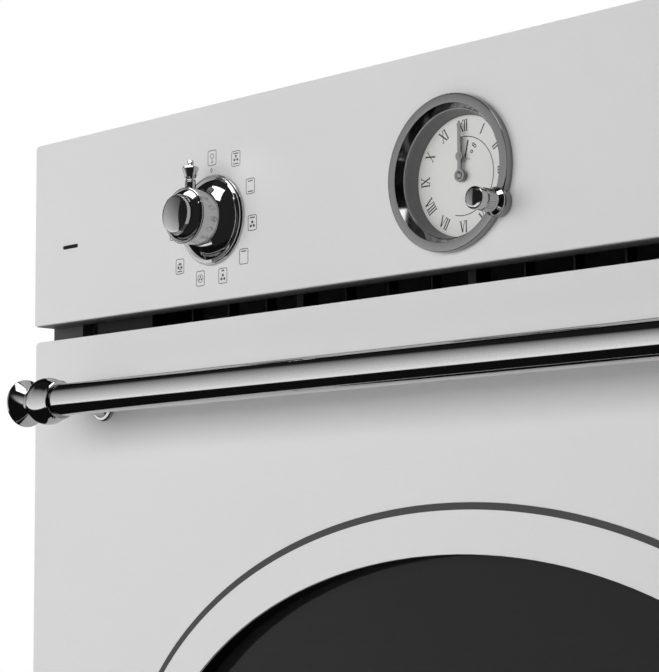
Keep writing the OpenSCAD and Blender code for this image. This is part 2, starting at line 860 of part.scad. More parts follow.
module terminal_block() {
    low = shield_z + sheet + clear;
    pole_pitch = 12.5;
    color("ivory") difference() {
        union() {
            block([inlet_x - 32, chamber_y, low], [inlet_x + 32, chamber_y + 22, low + 8]);
            for (i = [-2 : 2])
                block([inlet_x + i * pole_pitch - 5, chamber_y + 2, low + 7],
                      [inlet_x + i * pole_pitch + 5, chamber_y + 20, low + 20]);
        }
        for (i = [-2 : 2])
            rod_z(inlet_x + i * pole_pitch, chamber_y + 11, low + 12, 3, 10);
    }
}

module heat_shield() {
    color("silver") block([-side_inner + clear, mouth_y + 2, shield_z],
                          [side_inner - clear, cover_y - clear - sheet - clear, shield_z + sheet]);
}

// Cavity and what is in it

// Places and sizes shared by the heaters, the fan, the lamp, the probe and the walls they pass
ring_heater_r = 92;
ring_lead_x = 12;
lamp_r = 26;
lamp_x = wall_x - 30;
lamp_z = ceiling_z - 31;
grill_half = 154;
grill_runs = 8;
grill_z = ceiling_z - 14;
base_half = 132;
base_z = floor_z - cavity_t - 5.5;
strip_drop = 1.2;
lead_end_y = back_y + cavity_t + 34;
probe_x = -wall_x + 13;
probe_z = ceiling_z - 26;
probe_r = 2.5;
fan_shaft_r = 4;
motor_plate_r = 48;

// The mineral wool blanket round the cavity, open where the heaters, fan and lamp pass
module insulation() {
    floor_t = 10;
    recess_z = base_z - tube_r - strip_drop - clear;
    low = recess_z - floor_t;
    lead_gap = 4;
    through = 3 * insulation_t;
    color("khaki") difference() {
        block([-wall_x - cavity_t - insulation_t, mouth_y + 3, low],
              [wall_x + cavity_t + insulation_t, back_y + cavity_t + insulation_t, shield_z - over]);
        block([-wall_x - cavity_t - clear, mouth_y, recess_z],
              [wall_x + cavity_t + clear, back_y + cavity_t + clear, ceiling_z + cavity_t + clear]);
        rod_y(0, back_y, fan_z, motor_plate_r + 12, through);
        rod_y(lamp_x, back_y, lamp_z, lamp_r, through);
        for (x = [-grill_half, grill_half])
            rod_y(x, back_y, grill_z, tube_r + lead_gap, through);
        for (x = [-ring_lead_x, ring_lead_x])
            rod_y(x, back_y, fan_z + ring_heater_r, tube_r + lead_gap, through);
        for (x = [-base_half, base_half])
            rod_y(x, back_y, base_z, tube_r + lead_gap, through);
        rod_y(probe_x, back_y, probe_z, probe_r + lead_gap, through);
    }
}

module oven_cavity() {
    face_half = side_inner - clear;
    color([0.2, 0.2, 0.22]) difference() {
        union() {
            block([-face_half, mouth_y, frame_bottom + clear],
                  [face_half, mouth_y + cavity_t, shield_z - clear]);
            block([-wall_x - cavity_t, mouth_y, floor_z - cavity_t],
                  [wall_x + cavity_t, back_y + cavity_t, ceiling_z + cavity_t]);
        }
        block([-wall_x, mouth_y - over, floor_z], [wall_x, back_y, ceiling_z]);
        rod_y(0, back_y - over, fan_z, fan_shaft_r + 2, cavity_t + 2 * over);
        rod_y(lamp_x, back_y - over, lamp_z, lamp_r - 5, cavity_t + 2 * over);
        for (x = [-grill_half, grill_half])
            rod_y(x, back_y - over, grill_z, tube_r + clear, cavity_t + 2 * over);
        for (x = [-ring_lead_x, ring_lead_x])
            rod_y(x, back_y - over, fan_z + ring_heater_r, tube_r + clear, cavity_t + 2 * over);
        rod_y(probe_x, back_y - over, probe_z, probe_r + clear, cavity_t + 2 * over);
    }
}

// Flat sealing cord round the mouth, with rounded corners
module cavity_gasket() {
    r = 14;
    w = 8;
    half = wall_x + 10;
    low = floor_z - 10;
    high = ceiling_z + 10;
    front = door_back_y + clear;
    thick = seal_gap - 2 * clear;
    color("dimgray") along_y(front, thick) difference() {
        translate([0, (low + high) / 2]) round_rect(2 * half + w, high - low + w, r + w / 2);
        translate([0, (low + high) / 2]) round_rect(2 * half - w, high - low - w, r - w / 2);
    }
}

module side_racks() {
    low = floor_z + 14;
    high = floor_z + first_level + (levels - 1) * level_pitch + rail_gap + 14;
    front = rail_front + 12;
    back = rail_back - 12;
    middle_in = 125.5;
    middle_y = front + middle_in;
    middle_r = wire_r - 0.3;
    color("lightgray") both_sides() {
        for (y = [front, back]) {
            rod_z(wire_x, y, low, wire_r, high - low);
            for (z = [low + 4, high - 4])
                rod_x(wire_x, y, z, wire_r, wall_x - wire_x - clear);
        }
        rod_z(wire_x, middle_y, low, middle_r, high - low);
        for (z = [low, high])
            rod_y(wire_x, front, z, wire_r, back - front);
        for (i = [0 : levels - 1], up = [0, rail_gap])
            rod_y(rail_x, rail_front, floor_z + first_level + i * level_pitch + up, wire_r,
                  rail_back - rail_front);
    }
}

module wire_shelf() {
    half = shelf_half;
    n = floor((half - 8) / shelf_pitch);
    thin_r = 1.4;
    color("lightgray") {
        for (x = [-half, half])
            rod_y(x, shelf_front, shelf_z, shelf_rod_r, shelf_back - shelf_front);
        for (y = [shelf_front, (shelf_front + shelf_back) / 2, shelf_back])
            rod_x(-half, y, shelf_z, shelf_rod_r, 2 * half);
        for (x = [-half, half], y = [shelf_front, shelf_back])
            translate([x, y, shelf_z]) sphere(r = shelf_rod_r);
        for (i = [-n : n])
            rod_y(i * shelf_pitch, shelf_front, shelf_z + shelf_rod_r - 0.4, thin_r,
                  shelf_back - shelf_front);
    }
}

module baking_tray() {
    half = rail_x - wire_r - 1.5;
    rim = wire_x - wire_r - clear;
    length = shelf_back - shelf_front;
    pan_l = length - 10;
    pan_r = 16;
    mid = (shelf_front + shelf_back) / 2;
    low = tray_z - tray_drop;
    color([0.15, 0.15, 0.18]) difference() {
        translate([0, mid, 0]) union() {
            translate([0, 0, low]) linear_extrude(tray_drop + tray_t) round_rect(2 * half, pan_l, pan_r);
            translate([0, 0, tray_z]) linear_extrude(tray_t) round_rect(2 * rim, length, pan_r + 4);
        }
        translate([0, mid, low + tray_t]) linear_extrude(2 * tray_drop)
            round_rect(2 * (half - tray_t), pan_l - 2 * tray_t, pan_r - tray_t);
    }
}

// The baffle in front of the fan, with a round intake grille and outlet slots
module fan_cover() {
    hole_r = 3.4;
    ring_step = 12;
    color([0.25, 0.25, 0.27]) difference() {
        block([-baffle_w / 2, baffle_y, fan_z - baffle_h / 2],
              [baffle_w / 2, back_y - clear, fan_z + baffle_h / 2]);
        block([-baffle_w / 2 + sheet, baffle_y + sheet, fan_z - baffle_h / 2 + sheet],
              [baffle_w / 2 - sheet, back_y + over, fan_z + baffle_h / 2 - sheet]);
        rod_y(0, baffle_y - over, fan_z, hole_r, sheet + 2 * over);
        for (ring = [1 : 4], i = [0 : 6 * ring - 1])
            rod_y(ring * ring_step * cos(60 * i / ring), baffle_y - over,
                  fan_z + ring * ring_step * sin(60 * i / ring), hole_r, sheet + 2 * over);
        both_sides() for (z = [-3 : 3])
            along_y(baffle_y - over, sheet + 2 * over)
                translate([baffle_w / 2 - 30, fan_z + z * 28]) round_rect(34, 6, 2.9);
    }
}

module convection_fan() {
    hub_r = 10;
    shaft_front = fan_y - 6;
    blade_t = 1.2;
    color("silver") {
        rod_y(0, fan_y + fan_depth, fan_z, fan_r, 1);
        rod_y(0, fan_y - 2, fan_z, hub_r, fan_depth + 3);
        rod_y(0, shaft_front, fan_z, fan_shaft_r, motor_y + 14 - shaft_front);
        for (i = [0 : fan_blades - 1])
            translate([0, fan_y, fan_z]) rotate([0, 360 * i / fan_blades, 0])
                translate([hub_r - 1, 0, -blade_t / 2]) cube([fan_r - hub_r - 1, fan_depth + 0.5, blade_t]);
    }
}

module fan_motor() {
    post_at = motor_plate_r - 6;
    can_r = 30;
    can_l = 34;
    post_y = back_y + cavity_t + clear;
    color("dimgray") difference() {
        union() {
            rod_y(0, motor_y, fan_z, motor_plate_r, 2);
            rod_y(0, motor_y, fan_z, can_r, can_l);
            for (a = [90, 210, 330])
                rod_y(post_at * cos(a), post_y, fan_z + post_at * sin(a), 4, motor_y + clear - post_y);
        }
        rod_y(0, motor_y - over, fan_z, fan_shaft_r + running, can_l / 2);
    }
}

module ring_heater() {
    heater_y = fan_y + 8;
    color("dimgray") {
        translate([0, heater_y, fan_z]) rotate([90, 0, 0]) rotate_extrude()
            translate([ring_heater_r, 0]) circle(r = tube_r, $fn = 24);
        for (x = [-ring_lead_x, ring_lead_x])
            rod_y(x, heater_y, fan_z + ring_heater_r, tube_r, lead_end_y - heater_y);
    }
}

// A tube that runs to and fro in a level plane, with both ends at the rear
module serpentine(half, runs, z, front, back, end) {
    step = 2 * half / (runs - 1);
    for (i = [0 : runs - 1])
        rod_y(-half + i * step, front, z, tube_r, (i == 0 || i == runs - 1 ? end : back) - front);
    for (i = [0 : 2 : runs - 2])
        half_bend(-half + (i + 0.5) * step, front, z, step / 2, tube_r, 180);
    for (i = [1 : 2 : runs - 2])
        half_bend(-half + (i + 0.5) * step, back, z, step / 2, tube_r, 0);
}

module grill_element() {
    front_gap = 70;
    rear_gap = 50;
    front = mouth_y + front_gap;
    back = baffle_y - rear_gap;
    hanger_in = 22;
    hanger_r = 2.5;
    hanger_x = grill_half - hanger_in;
    crossbar_r = 1.6;
    bar_over = 6;
    bar_in = 30;
    color("gray") {
        serpentine(grill_half, grill_runs, grill_z, front, back, lead_end_y);
        for (y = [front + bar_in, back - bar_in]) {
            rod_x(-grill_half - bar_over, y, grill_z + tube_r + 1, crossbar_r, 2 * (grill_half + bar_over));
            for (x = [-hanger_x, hanger_x])
                rod_z(x, y, grill_z + tube_r, hanger_r, ceiling_z - clear - grill_z - tube_r);
        }
    }
}

// The lower tube, carried by two strips that lie on the insulation
module bottom_element() {
    front = mouth_y + 90;
    back = back_y - 60;
    strip_w = 14;
    strip_half = base_half + 8;
    color("gray") {
        serpentine(base_half, 4, base_z, front, back, lead_end_y);
        for (y = [front + 40, back - 50])
            block([-strip_half, y, base_z - tube_r - strip_drop],
                  [strip_half, y + strip_w, base_z - tube_r + 0.4]);
    }
}

module lamp_lens() {
    rim = 4;
    dome = 9;
    bore_r = 18;
    color([1, 1, 0.9, 0.5]) difference() {
        union() {
            rod_y(lamp_x, back_y - rim, lamp_z, lamp_r, rim - clear);
            translate([lamp_x, back_y - rim, lamp_z]) rotate([90, 0, 0])
                cylinder(r1 = lamp_r - 2, r2 = bore_r + 1, h = dome);
        }
        rod_y(lamp_x, back_y - dome, lamp_z, bore_r, dome + over);
    }
}

module lamp_holder() {
    front = back_y + cavity_t + clear;
    color("ivory") {
        rod_y(lamp_x, front, lamp_z, lamp_r - 2, 3);
        rod_y(lamp_x, front, lamp_z, lamp_r - 10, 40);
        rod_y(lamp_x, back_y - 2, lamp_z, 11, cavity_t + 4);
    }
}

module thermostat_probe() {
    reach = 90;
    collar = 6;
    color("gold") {
        rod_y(probe_x, back_y - reach, probe_z, probe_r, reach + cavity_t + 40);
        rod_y(probe_x, back_y - collar, probe_z, 2 * probe_r, collar - clear);
    }
}

// Hinges

arm_t = 3;
arm_h = 12;
eye_r = 7;
hook_w = 6;
hook_h = 8;
arm_back = lower_y + 60;
receiver_pin_y = arm_back - 10;

module hinge_arms() {
    color("gray") both_sides() difference() {
        along_x(hinge_x - arm_t / 2, arm_t) {
            translate([hinge_y, hinge_z]) circle(r = eye_r);
            translate([hinge_y, hinge_z - arm_h / 2]) square([arm_back - hinge_y, arm_h]);
            translate([arm_back - hook_w, hinge_z - arm_h / 2 - hook_h]) square([hook_w, hook_h + 2]);
        }
        rod_x(hinge_x - arm_t, hinge_y, hinge_z, hinge_pin_r + running, 2 * arm_t);
        rod_x(hinge_x - arm_t, receiver_pin_y, hinge_z - arm_h / 2, hinge_pin_r + clear, 2 * arm_t);
    }
}

module hinge_receivers() {
    front = lower_y + sheet + clear;
    back = arm_back + 6;
    low = hinge_z - arm_h / 2 - hook_h - 3;
    high = hinge_z + 14;
    wall = 1.5;
    half = 4.5;
    color("silver") both_sides() {
        for (x = [-half, half - wall])
            block([hinge_x + x, front, low], [hinge_x + x + wall, back, high]);
        block([hinge_x - half, front, low], [hinge_x + half, back, low + wall]);
        rod_x(hinge_x - half + 0.5, receiver_pin_y, hinge_z - arm_h / 2, hinge_pin_r, 2 * half - 1);
    }
}

module hinge_brackets() {
    wall = 1.5;
    inner = arm_t / 2 + 0.5;
    back = inner_glass_y - 4;
    high = box_bottom - clear;
    color("gray") both_sides() {
        for (x = [-inner - wall, inner])
            along_x(hinge_x + x, wall) {
                translate([hinge_y, hinge_z]) circle(r = eye_r + 1);
                translate([hinge_y, hinge_z]) square([back - hinge_y, high - hinge_z]);
            }
        block([hinge_x - inner - wall, hinge_y, high - wall], [hinge_x + inner + wall, back, high]);
        rod_x(hinge_x - inner - wall, hinge_y, hinge_z, hinge_pin_r, 2 * (inner + wall));
    }
}

// Door

stud_r = 2.4;
groove = 0.5;

module door_skin() {
    color("whitesmoke") difference() {
        along_y(door_y, skin_depth) translate([0, door_mid]) round_rect(front_w, door_h, corner_r);
        block([-front_w / 2 + skin_t, door_y + skin_t, door_bottom + skin_t],
              [front_w / 2 - skin_t, door_y + skin_depth + over, door_top - skin_t]);
        along_y(door_y - over, skin_t + 2 * over) window_outline(0);
        along_y(door_y - over, groove + over) line_outline(0);
        both_sides() rod_y(ball_x, door_y - over, bar_z, stud_r + clear, skin_t + 2 * over);
        // Notches that let the lower edge pass the hinge arms
        both_sides() block([hinge_x - 6, door_y + skin_t + 0.6, door_bottom - over],
                           [hinge_x + 6, door_y + skin_depth + over, door_bottom + skin_t + over]);
    }
}

module ring_inlay() {
    color("dimgray") along_y(door_y + 0.1, groove - 0.1) line_outline(0.05);
}

module window_seal() {
    color([0.05, 0.05, 0.05]) along_y(door_y + skin_t, reveal - skin_t) difference() {
        window_outline(seal_w);
        window_outline(0);
    }
}

module outer_glass() {
    color([0.15, 0.15, 0.16, 0.6]) along_y(glass_y, glass_t)
        translate([0, (pane_top + pane_bottom) / 2]) round_rect(pane_w, pane_top - pane_bottom, 20);
}

module door_frame() {
    inset = skin_t + clear;
    pane_gap = 3;
    flange_hole_w = pane_w + 2 * pane_gap;
    color([0.3, 0.3, 0.32]) difference() {
        union() {
            block([-front_w / 2 + inset, flange_y, door_bottom + inset],
                  [front_w / 2 - inset, box_front_y, door_top - inset]);
            block([-box_w / 2, flange_y, box_bottom], [box_w / 2, inner_glass_y, box_top]);
        }
        block([-box_w / 2 + box_t, box_front_y, box_bottom + box_t],
              [box_w / 2 - box_t, inner_glass_y + over, box_top - box_t]);
        block([-flange_hole_w / 2, flange_y - over, pane_bottom - pane_gap],
              [flange_hole_w / 2, box_front_y + over, pane_top + pane_gap]);
        both_sides() block([hinge_x - 7, flange_y - over, door_bottom],
                           [hinge_x + 7, box_front_y + over, hinge_z + 14]);
    }
}

// Six clips that hold the outer pane to the door frame
module glass_clips() {
    reach = 8;
    foot = 14;
    half_h = 8;
    t = 1;
    edge = pane_w / 2 + 2 * clear;
    back = glass_y + glass_t;
    color("silver") both_sides() for (z = [pane_bottom + 30, window_z, pane_top - 30]) {
        block([pane_w / 2 - reach, back, z - half_h], [edge + t, back + t, z + half_h]);
        block([edge, box_front_y, z - half_h], [edge + t, back + t, z + half_h]);
        block([edge, box_front_y, z - half_h], [pane_w / 2 + foot, box_front_y + t, z + half_h]);
    }
}

middle_inset = 8;
middle_bottom = box_bottom + box_t + middle_inset;
middle_top = box_top - box_t - middle_inset;
middle_half = box_w / 2 - box_t - middle_inset;

module middle_glass() {
    color([0.8, 0.9, 0.9, 0.3])
        block([-middle_half, middle_glass_y, middle_bottom],
              [middle_half, middle_glass_y + glass_t, middle_top]);
}

// Corner blocks that hold the middle pane between the frame and the inner pane
module glass_spacers() {
    size = 20;
    outer_x = box_w / 2 - box_t - clear;
    color([0.2, 0.2, 0.2]) both_sides()
        for (z = [box_bottom + box_t + clear, box_top - box_t - clear - size]) difference() {
            block([outer_x - size, box_front_y + clear, z], [outer_x, inner_glass_y - clear, z + size]);
            block([0, middle_glass_y - clear / 2, middle_bottom - clear],
                  [middle_half + clear, middle_glass_y + glass_t + clear / 2, middle_top + clear]);
        }
}

module inner_glass() {
    color([0.8, 0.9, 0.9, 0.3]) block([-box_w / 2, inner_glass_y, box_bottom],
                                      [box_w / 2, door_back_y, box_top]);
}

module door_top_trim() {
    slot_pitch = 36;
    color([0.1, 0.1, 0.1]) difference() {
        block([-box_w / 2, box_front_y + clear, box_top], [box_w / 2, door_back_y, box_top + trim_h]);
        for (i = [-6 : 6])
            block([i * slot_pitch - 12, box_front_y + 8, box_top - over],
                  [i * slot_pitch + 12, inner_glass_y - 6, box_top + trim_h + over]);
    }
}

// Handle

collar_r = 9.3;
bar_end_x = ball_x - 10;
neck_x = ball_x + 9.8;

module handle_bar() {
    color("silver") difference() {
        rod_x(-bar_end_x, face_y - bar_out, bar_z, bar_r, 2 * bar_end_x);
        rod_x(-bar_end_x - over, face_y - bar_out, bar_z, bar_r - bar_wall, 2 * (bar_end_x + over));
    }
}

// Outline of one end of the handle: spigot, collar, ball, neck ring and flare
module end_profile() {
    flare_l = 8.1;
    spigot_r = bar_r - bar_wall - running;
    spigot_l = 20;
    bead_r = 0.9;
    neck_r = 6.6;
    cove_r = 6.4;
    difference() {
        union() {
            translate([0, ball_x - spigot_l - 4]) square([spigot_r, spigot_l]);
            translate([0, bar_end_x]) square([collar_r, 2.6]);
            translate([collar_r, bar_end_x + 1.3]) circle(r = bead_r);
            translate([0, ball_x]) circle(r = ball_r);
            translate([0, neck_x]) square([neck_r, 2.4]);
            translate([neck_r, neck_x + 1.2]) circle(r = bead_r);
            difference() {
                translate([0, neck_x + 1]) square([flare_r, flare_l]);
                translate([flare_r + 0.2, neck_x + 1.6]) circle(r = cove_r);
            }
            translate([0, neck_x + flare_l]) square([flare_r, 1.4]);
        }
        translate([-2 * ball_r, 0]) square([2 * ball_r, 2 * ball_x]);
        // The end face of the bar butts against the ball
        translate([spigot_r, 0]) square([ball_r, bar_end_x]);
    }
}

module handle_ends() {
    color("silver") both_sides() translate([0, face_y - bar_out, bar_z]) rotate([0, 90, 0])
        rotate_extrude() end_profile();
}

// A post between each ball and the door, with a turned foot and a threaded stud through the skin
module handle_posts() {
    foot_r = 8.3;
    foot_t = 2.2;
    cone_l = 3.4;
    color("silver") both_sides() {
        difference() {
            union() {
                rod_y(ball_x, face_y - bar_out, bar_z, post_r, bar_out + door_step);
                rod_y(ball_x, door_y - foot_t, bar_z, foot_r, foot_t);
                translate([ball_x, door_y - foot_t, bar_z]) rotate([90, 0, 0])
                    cylinder(r1 = foot_r - 0.6, r2 = post_r, h = cone_l);
            }
            translate([ball_x, face_y - bar_out, bar_z]) sphere(r = ball_r + 0.1);
        }
        rod_y(ball_x, door_y - over, bar_z, stud_r, skin_t + 4 + over);
        rod_y(ball_x, door_y + skin_t, bar_z, stud_r + 2, 2.6);
    }
}

control_panel();
panel_bracket();
indicator_lens();
knob_rosettes();
selector_knob();
thermostat_knob();
panel_switches();
clock_bezel();
clock_glass();
clock_dial();
clock_movement();
minute_hand();
hour_hand();
clock_setting_knob();
front_frame();
vent_grille();
air_duct();
blower_housing();
blower_motor();
blower_impeller();
base_plate();
side_panels();
top_cover();
rear_cover();
cover_screws();
cable_gland();
terminal_block();
heat_shield();
insulation();
oven_cavity();
cavity_gasket();
side_racks();
wire_shelf();
baking_tray();
fan_cover();
convection_fan();
fan_motor();
ring_heater();
grill_element();
bottom_element();
lamp_lens();
lamp_holder();
thermostat_probe();
hinge_receivers();
hinge_arms();
hinge_brackets();
door_skin();
ring_inlay();
window_seal();
outer_glass();
glass_clips();
door_frame();
middle_glass();
glass_spacers();
inner_glass();
door_top_trim();
handle_bar();
handle_ends();
handle_posts();
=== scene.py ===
"""Looks of the built-in oven: the studio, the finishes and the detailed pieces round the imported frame."""
import json
import logging
import math
from dataclasses import dataclass
from enum import Enum
from typing import Callable, Sequence

import bmesh
import bpy
from mathutils import Matrix, Vector


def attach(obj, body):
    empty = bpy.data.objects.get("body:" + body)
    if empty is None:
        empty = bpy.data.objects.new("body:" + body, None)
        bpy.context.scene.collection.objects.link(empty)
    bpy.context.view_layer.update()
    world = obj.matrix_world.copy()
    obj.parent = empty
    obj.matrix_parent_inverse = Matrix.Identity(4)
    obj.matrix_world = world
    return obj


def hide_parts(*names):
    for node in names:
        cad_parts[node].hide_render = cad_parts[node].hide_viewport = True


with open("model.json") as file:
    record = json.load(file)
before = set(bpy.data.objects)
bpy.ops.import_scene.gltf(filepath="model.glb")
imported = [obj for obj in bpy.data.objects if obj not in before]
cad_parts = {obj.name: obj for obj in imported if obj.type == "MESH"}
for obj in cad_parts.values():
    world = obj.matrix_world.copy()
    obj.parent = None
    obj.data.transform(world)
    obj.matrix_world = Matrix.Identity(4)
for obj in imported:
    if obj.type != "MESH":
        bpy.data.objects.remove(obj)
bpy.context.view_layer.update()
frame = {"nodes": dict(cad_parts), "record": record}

LOG = logging.getLogger("oven")
MM = 0.001
Colour = tuple[float, float, float]
Point = tuple[float, float]

# Planes and places shared with the part's source, in millimetres
FACE_Y = -274.0
DOOR_Y = -273.1
KNOB_X = 155.6
KNOB_Z = 534.5
CLOCK_Z = 535.6
BAR_Z = 449.1
BAR_Y = FACE_Y - 35.0
PANEL_BOTTOM = 494.8
VENT_Y = -261.1

# Height of the print in millimetres, and the distance in metres within which doubled vertices are merged
PRINT_H = 0.03
MERGE_M = 2e-6


def grey(level: float) -> Colour:
    """Returns the linear colour of a screen grey from 0 to 255.

    Args:
        level: the level.

    Returns:
        The colour.
    """
    value = level / 255
    linear = value / 12.92 if value <= 0.04045 else ((value + 0.055) / 1.055) ** 2.4
    return (linear, linear, linear)


# Node graphs


class Value:
    """A node's output that Python expressions can work on."""

    def __init__(self, graph: "Graph", socket: bpy.types.NodeSocket) -> None:
        """Keeps the graph that the socket belongs to."""
        self.graph = graph
        self.socket = socket

    def math(self, operation: str, *others: "Value | float") -> "Value":
        """Adds a Math node that starts from this value.

        Args:
            operation: the Math node's operation.
            others: the values of its further sockets.

        Returns:
            The node's output.
        """
        return self.graph.add("ShaderNodeMath", {"operation": operation}, dict(enumerate((self, *others))))

    def after(self, operation: str, other: "Value | float") -> "Value":
        """Adds a Math node whose second socket is this value."""
        return self.graph.add("ShaderNodeMath", {"operation": operation}, {0: other, 1: self})

    def __add__(self, other: "Value | float") -> "Value":
        """Returns the sum."""
        return self.math("ADD", other)

    def __sub__(self, other: "Value | float") -> "Value":
        """Returns the difference."""
        return self.math("SUBTRACT", other)

    def __mul__(self, other: "Value | float") -> "Value":
        """Returns the product."""
        return self.math("MULTIPLY", other)

    def __truediv__(self, other: "Value | float") -> "Value":
        """Returns the quotient."""
        return self.math("DIVIDE", other)

    def __rsub__(self, other: float) -> "Value":
        """Returns a number less this value."""
        return self.after("SUBTRACT", other)

    def __rtruediv__(self, other: float) -> "Value":
        """Returns a number divided by this value."""
        return self.after("DIVIDE", other)

    __radd__ = __add__
    __rmul__ = __mul__

    def smooth(self, low: float, high: float) -> "Value":
        """Returns a soft step from 0 at low to 1 at high.

        Args:
            low: where the step starts.
            high: where it ends. It may be under low, which turns the step round.

        Returns:
            The step.
        """
        if high < low:
            return 1 - self.smooth(high, low)
        settings = {"interpolation_type": "SMOOTHSTEP"}
        return self.graph.add("ShaderNodeMapRange", settings, {"Value": self, "From Min": low, "From Max": high})


class Graph:
    """A node tree that is filled by one method."""

    def __init__(self, tree: bpy.types.NodeTree) -> None:
        """Keeps the tree."""
        self.tree = tree

    def node(self, kind: str, settings: dict[str, object], inputs: dict[int | str, object]) -> bpy.types.Node:
        """Adds a node, with its settings first and its sockets after them.

        Args:
            kind: the node's type.
            settings: its properties, with the stops of a colour ramp under the name stops.
            inputs: a value or a link for each socket, by name or number.

        Returns:
            The node.
        """
        node = self.tree.nodes.new(kind)
        for name, setting in settings.items():
            if name == "stops":
                self.set_stops(node.color_ramp, setting)
            else:
                setattr(node, name, setting)
        for key, value in inputs.items():
            socket = node.inputs[key]
            if isinstance(value, Value):
                self.tree.links.new(value.socket, socket)
            elif isinstance(value, tuple) and socket.type == "RGBA":
                socket.default_value = (*value[:3], 1)
            else:
                socket.default_value = value
        return node

    def add(self, kind: str, settings: dict[str, object], inputs: dict[int | str, object],
            out: int | str = 0) -> Value:
        """Adds a node and returns one of its outputs, by name or number."""
        return Value(self, self.node(kind, settings, inputs).outputs[out])

    def split(self, vector: Value) -> list[Value]:
        """Returns the three parts of a vector."""
        return [Value(self, out) for out in self.node("ShaderNodeSeparateXYZ", {}, {"Vector": vector}).outputs]

    def ray(self, fact: str) -> Value:
        """Returns what the light path knows about the ray."""
        return self.add("ShaderNodeLightPath", {}, {}, fact)

    @staticmethod
    def set_stops(ramp: bpy.types.ColorRamp, stops: Sequence[tuple[float, Colour]]) -> None:
        """Sets the stops of a colour ramp.

        Args:
            ramp: the ramp.
            stops: each stop's position and colour.
        """
        while len(ramp.elements) > 1:
            ramp.elements.remove(ramp.elements[-1])
        for i, (position, colour) in enumerate(stops):
            element = ramp.elements[0] if i == 0 else ramp.elements.new(position)
            element.position = position
            element.color = (*colour, 1)


class Surface(Graph):
    """A material's node tree, with its shader and its patterns on object coordinates."""

    def __init__(self, name: str) -> None:
        """Makes an empty material.

        Args:
            name: the material's name.
        """
        self.material = bpy.data.materials.new(name)
        self.material.use_nodes = True
        super().__init__(self.material.node_tree)
        self.tree.nodes.clear()
        self.output = self.tree.nodes.new("ShaderNodeOutputMaterial")
        self.place = self.add("ShaderNodeTexCoord", {}, {}, "Object")

    def noise(self, scale: float, detail: float = 2, stretch: Colour | None = None) -> Value:
        """Adds a noise pattern.

        Args:
            scale: the number of its grains to a metre.
            detail: its layers.
            stretch: scales along the axes, for a brushed grain.

        Returns:
            A value about one half.
        """
        vector = self.place
        if stretch:
            vector = self.add("ShaderNodeMapping", {}, {"Vector": vector, "Scale": stretch})
        return self.add("ShaderNodeTexNoise", {}, {"Vector": vector, "Scale": scale, "Detail": detail})

    def cells(self, scale: float) -> Value:
        """Returns a random level for each cell of a crystal pattern."""
        colour = self.add("ShaderNodeTexVoronoi", {}, {"Vector": self.place, "Scale": scale}, "Color")
        return self.add("ShaderNodeSeparateColor", {}, {"Color": colour})

    def blend(self, factor: Value | float, first: Colour | Value, second: Colour | Value) -> Value:
        """Returns the mix of two colours by a factor from 0 to 1."""
        return self.add("ShaderNodeMix", {"data_type": "RGBA"}, {0: factor, 6: first, 7: second}, 2)

    def shade(self, colour: Colour, factor: Value, amount: float) -> Value:
        """Returns a colour that a pattern makes lighter and darker.

        Args:
            colour: the middle colour.
            factor: the pattern, about one half.
            amount: the share by which it changes either way.

        Returns:
            The changed colour.
        """
        dark = tuple(c * (1 - amount) for c in colour)
        light = tuple(c * (1 + amount) for c in colour)
        return self.blend(factor, dark, light)

    def bump(self, height: Value, distance: float, strength: float = 1.0) -> Value:
        """Returns a normal that follows a height, with its distance in metres."""
        return self.add("ShaderNodeBump", {}, {"Height": height, "Distance": distance, "Strength": strength})

    def glow(self, level: Value | float) -> Value:
        """Returns a white emission of that strength."""
        return self.add("ShaderNodeEmission", {}, {"Color": (1.0, 1.0, 1.0), "Strength": level})

    def mix(self, factor: Value, first: Value, second: Value) -> Value:
        """Returns the mix of two shaders by a factor from 0 to 1."""
        return self.add("ShaderNodeMixShader", {}, {0: factor, 1: first, 2: second})

    def end(self, shader: Value) -> bpy.types.Material:
        """Ends the material in that shader."""
        self.tree.links.new(shader.socket, self.output.inputs["Surface"])
        return self.material

    def close(self, inputs: dict[str, object]) -> bpy.types.Material:
        """Ends the material in a Principled shader with these sockets."""
        return self.end(self.add("ShaderNodeBsdfPrincipled", {}, inputs))


# Finishes


@dataclass(frozen=True)
class Finish:
    """What every finish has: a colour and a roughness."""

    colour: Colour
    roughness: float = 0.4

    def material(self, name: str) -> bpy.types.Material:
        """Makes the material of that name."""
        surface = Surface(name)
        return surface.close(self.sockets(surface))

    def sockets(self, surface: Surface) -> dict[str, object]:
        """Returns the shader's sockets, for a plain finish."""
        return {"Base Color": (*self.colour, 1), "Roughness": self.roughness}


@dataclass(frozen=True)
class Enamel(Finish):
    """A sprayed or fired coat with a faint orange peel.

    Attributes:
        mottle: share by which the colour wanders.
        peel: height of the orange peel in metres.
        peel_scale: grains of the peel to a metre.
        speckle: strength of light specks, for the cavity's enamel.
        shine: level of its reflection.
    """

    mottle: float = 0.008
    peel: float = 0.000012
    peel_scale: float = 520.0
    speckle: float = 0.0
    shine: float = 0.5

    def sockets(self, surface: Surface) -> dict[str, object]:
        """Returns the sockets of the coat.

        Args:
            surface: the material's node tree.

        Returns:
            The value or the link of each socket of the shader.
        """
        cloud_scale, speck_scale, speck_colour, rough_swing = 16, 1500, (0.5, 0.5, 0.52), 0.12
        cloud = surface.noise(cloud_scale, 3)
        grain = surface.noise(self.peel_scale, 2)
        colour = surface.shade(self.colour, cloud * 0.7 + grain * 0.3, self.mottle)
        if self.speckle:
            specks = surface.noise(speck_scale, 1).smooth(0.64, 0.7) * self.speckle
            colour = surface.blend(specks, colour, speck_colour)
        return {
            "Base Color": colour,
            "Roughness": (grain - 0.5) * rough_swing + self.roughness,
            "Normal": surface.bump(grain, self.peel),
            "Specular IOR Level": self.shine,
        }


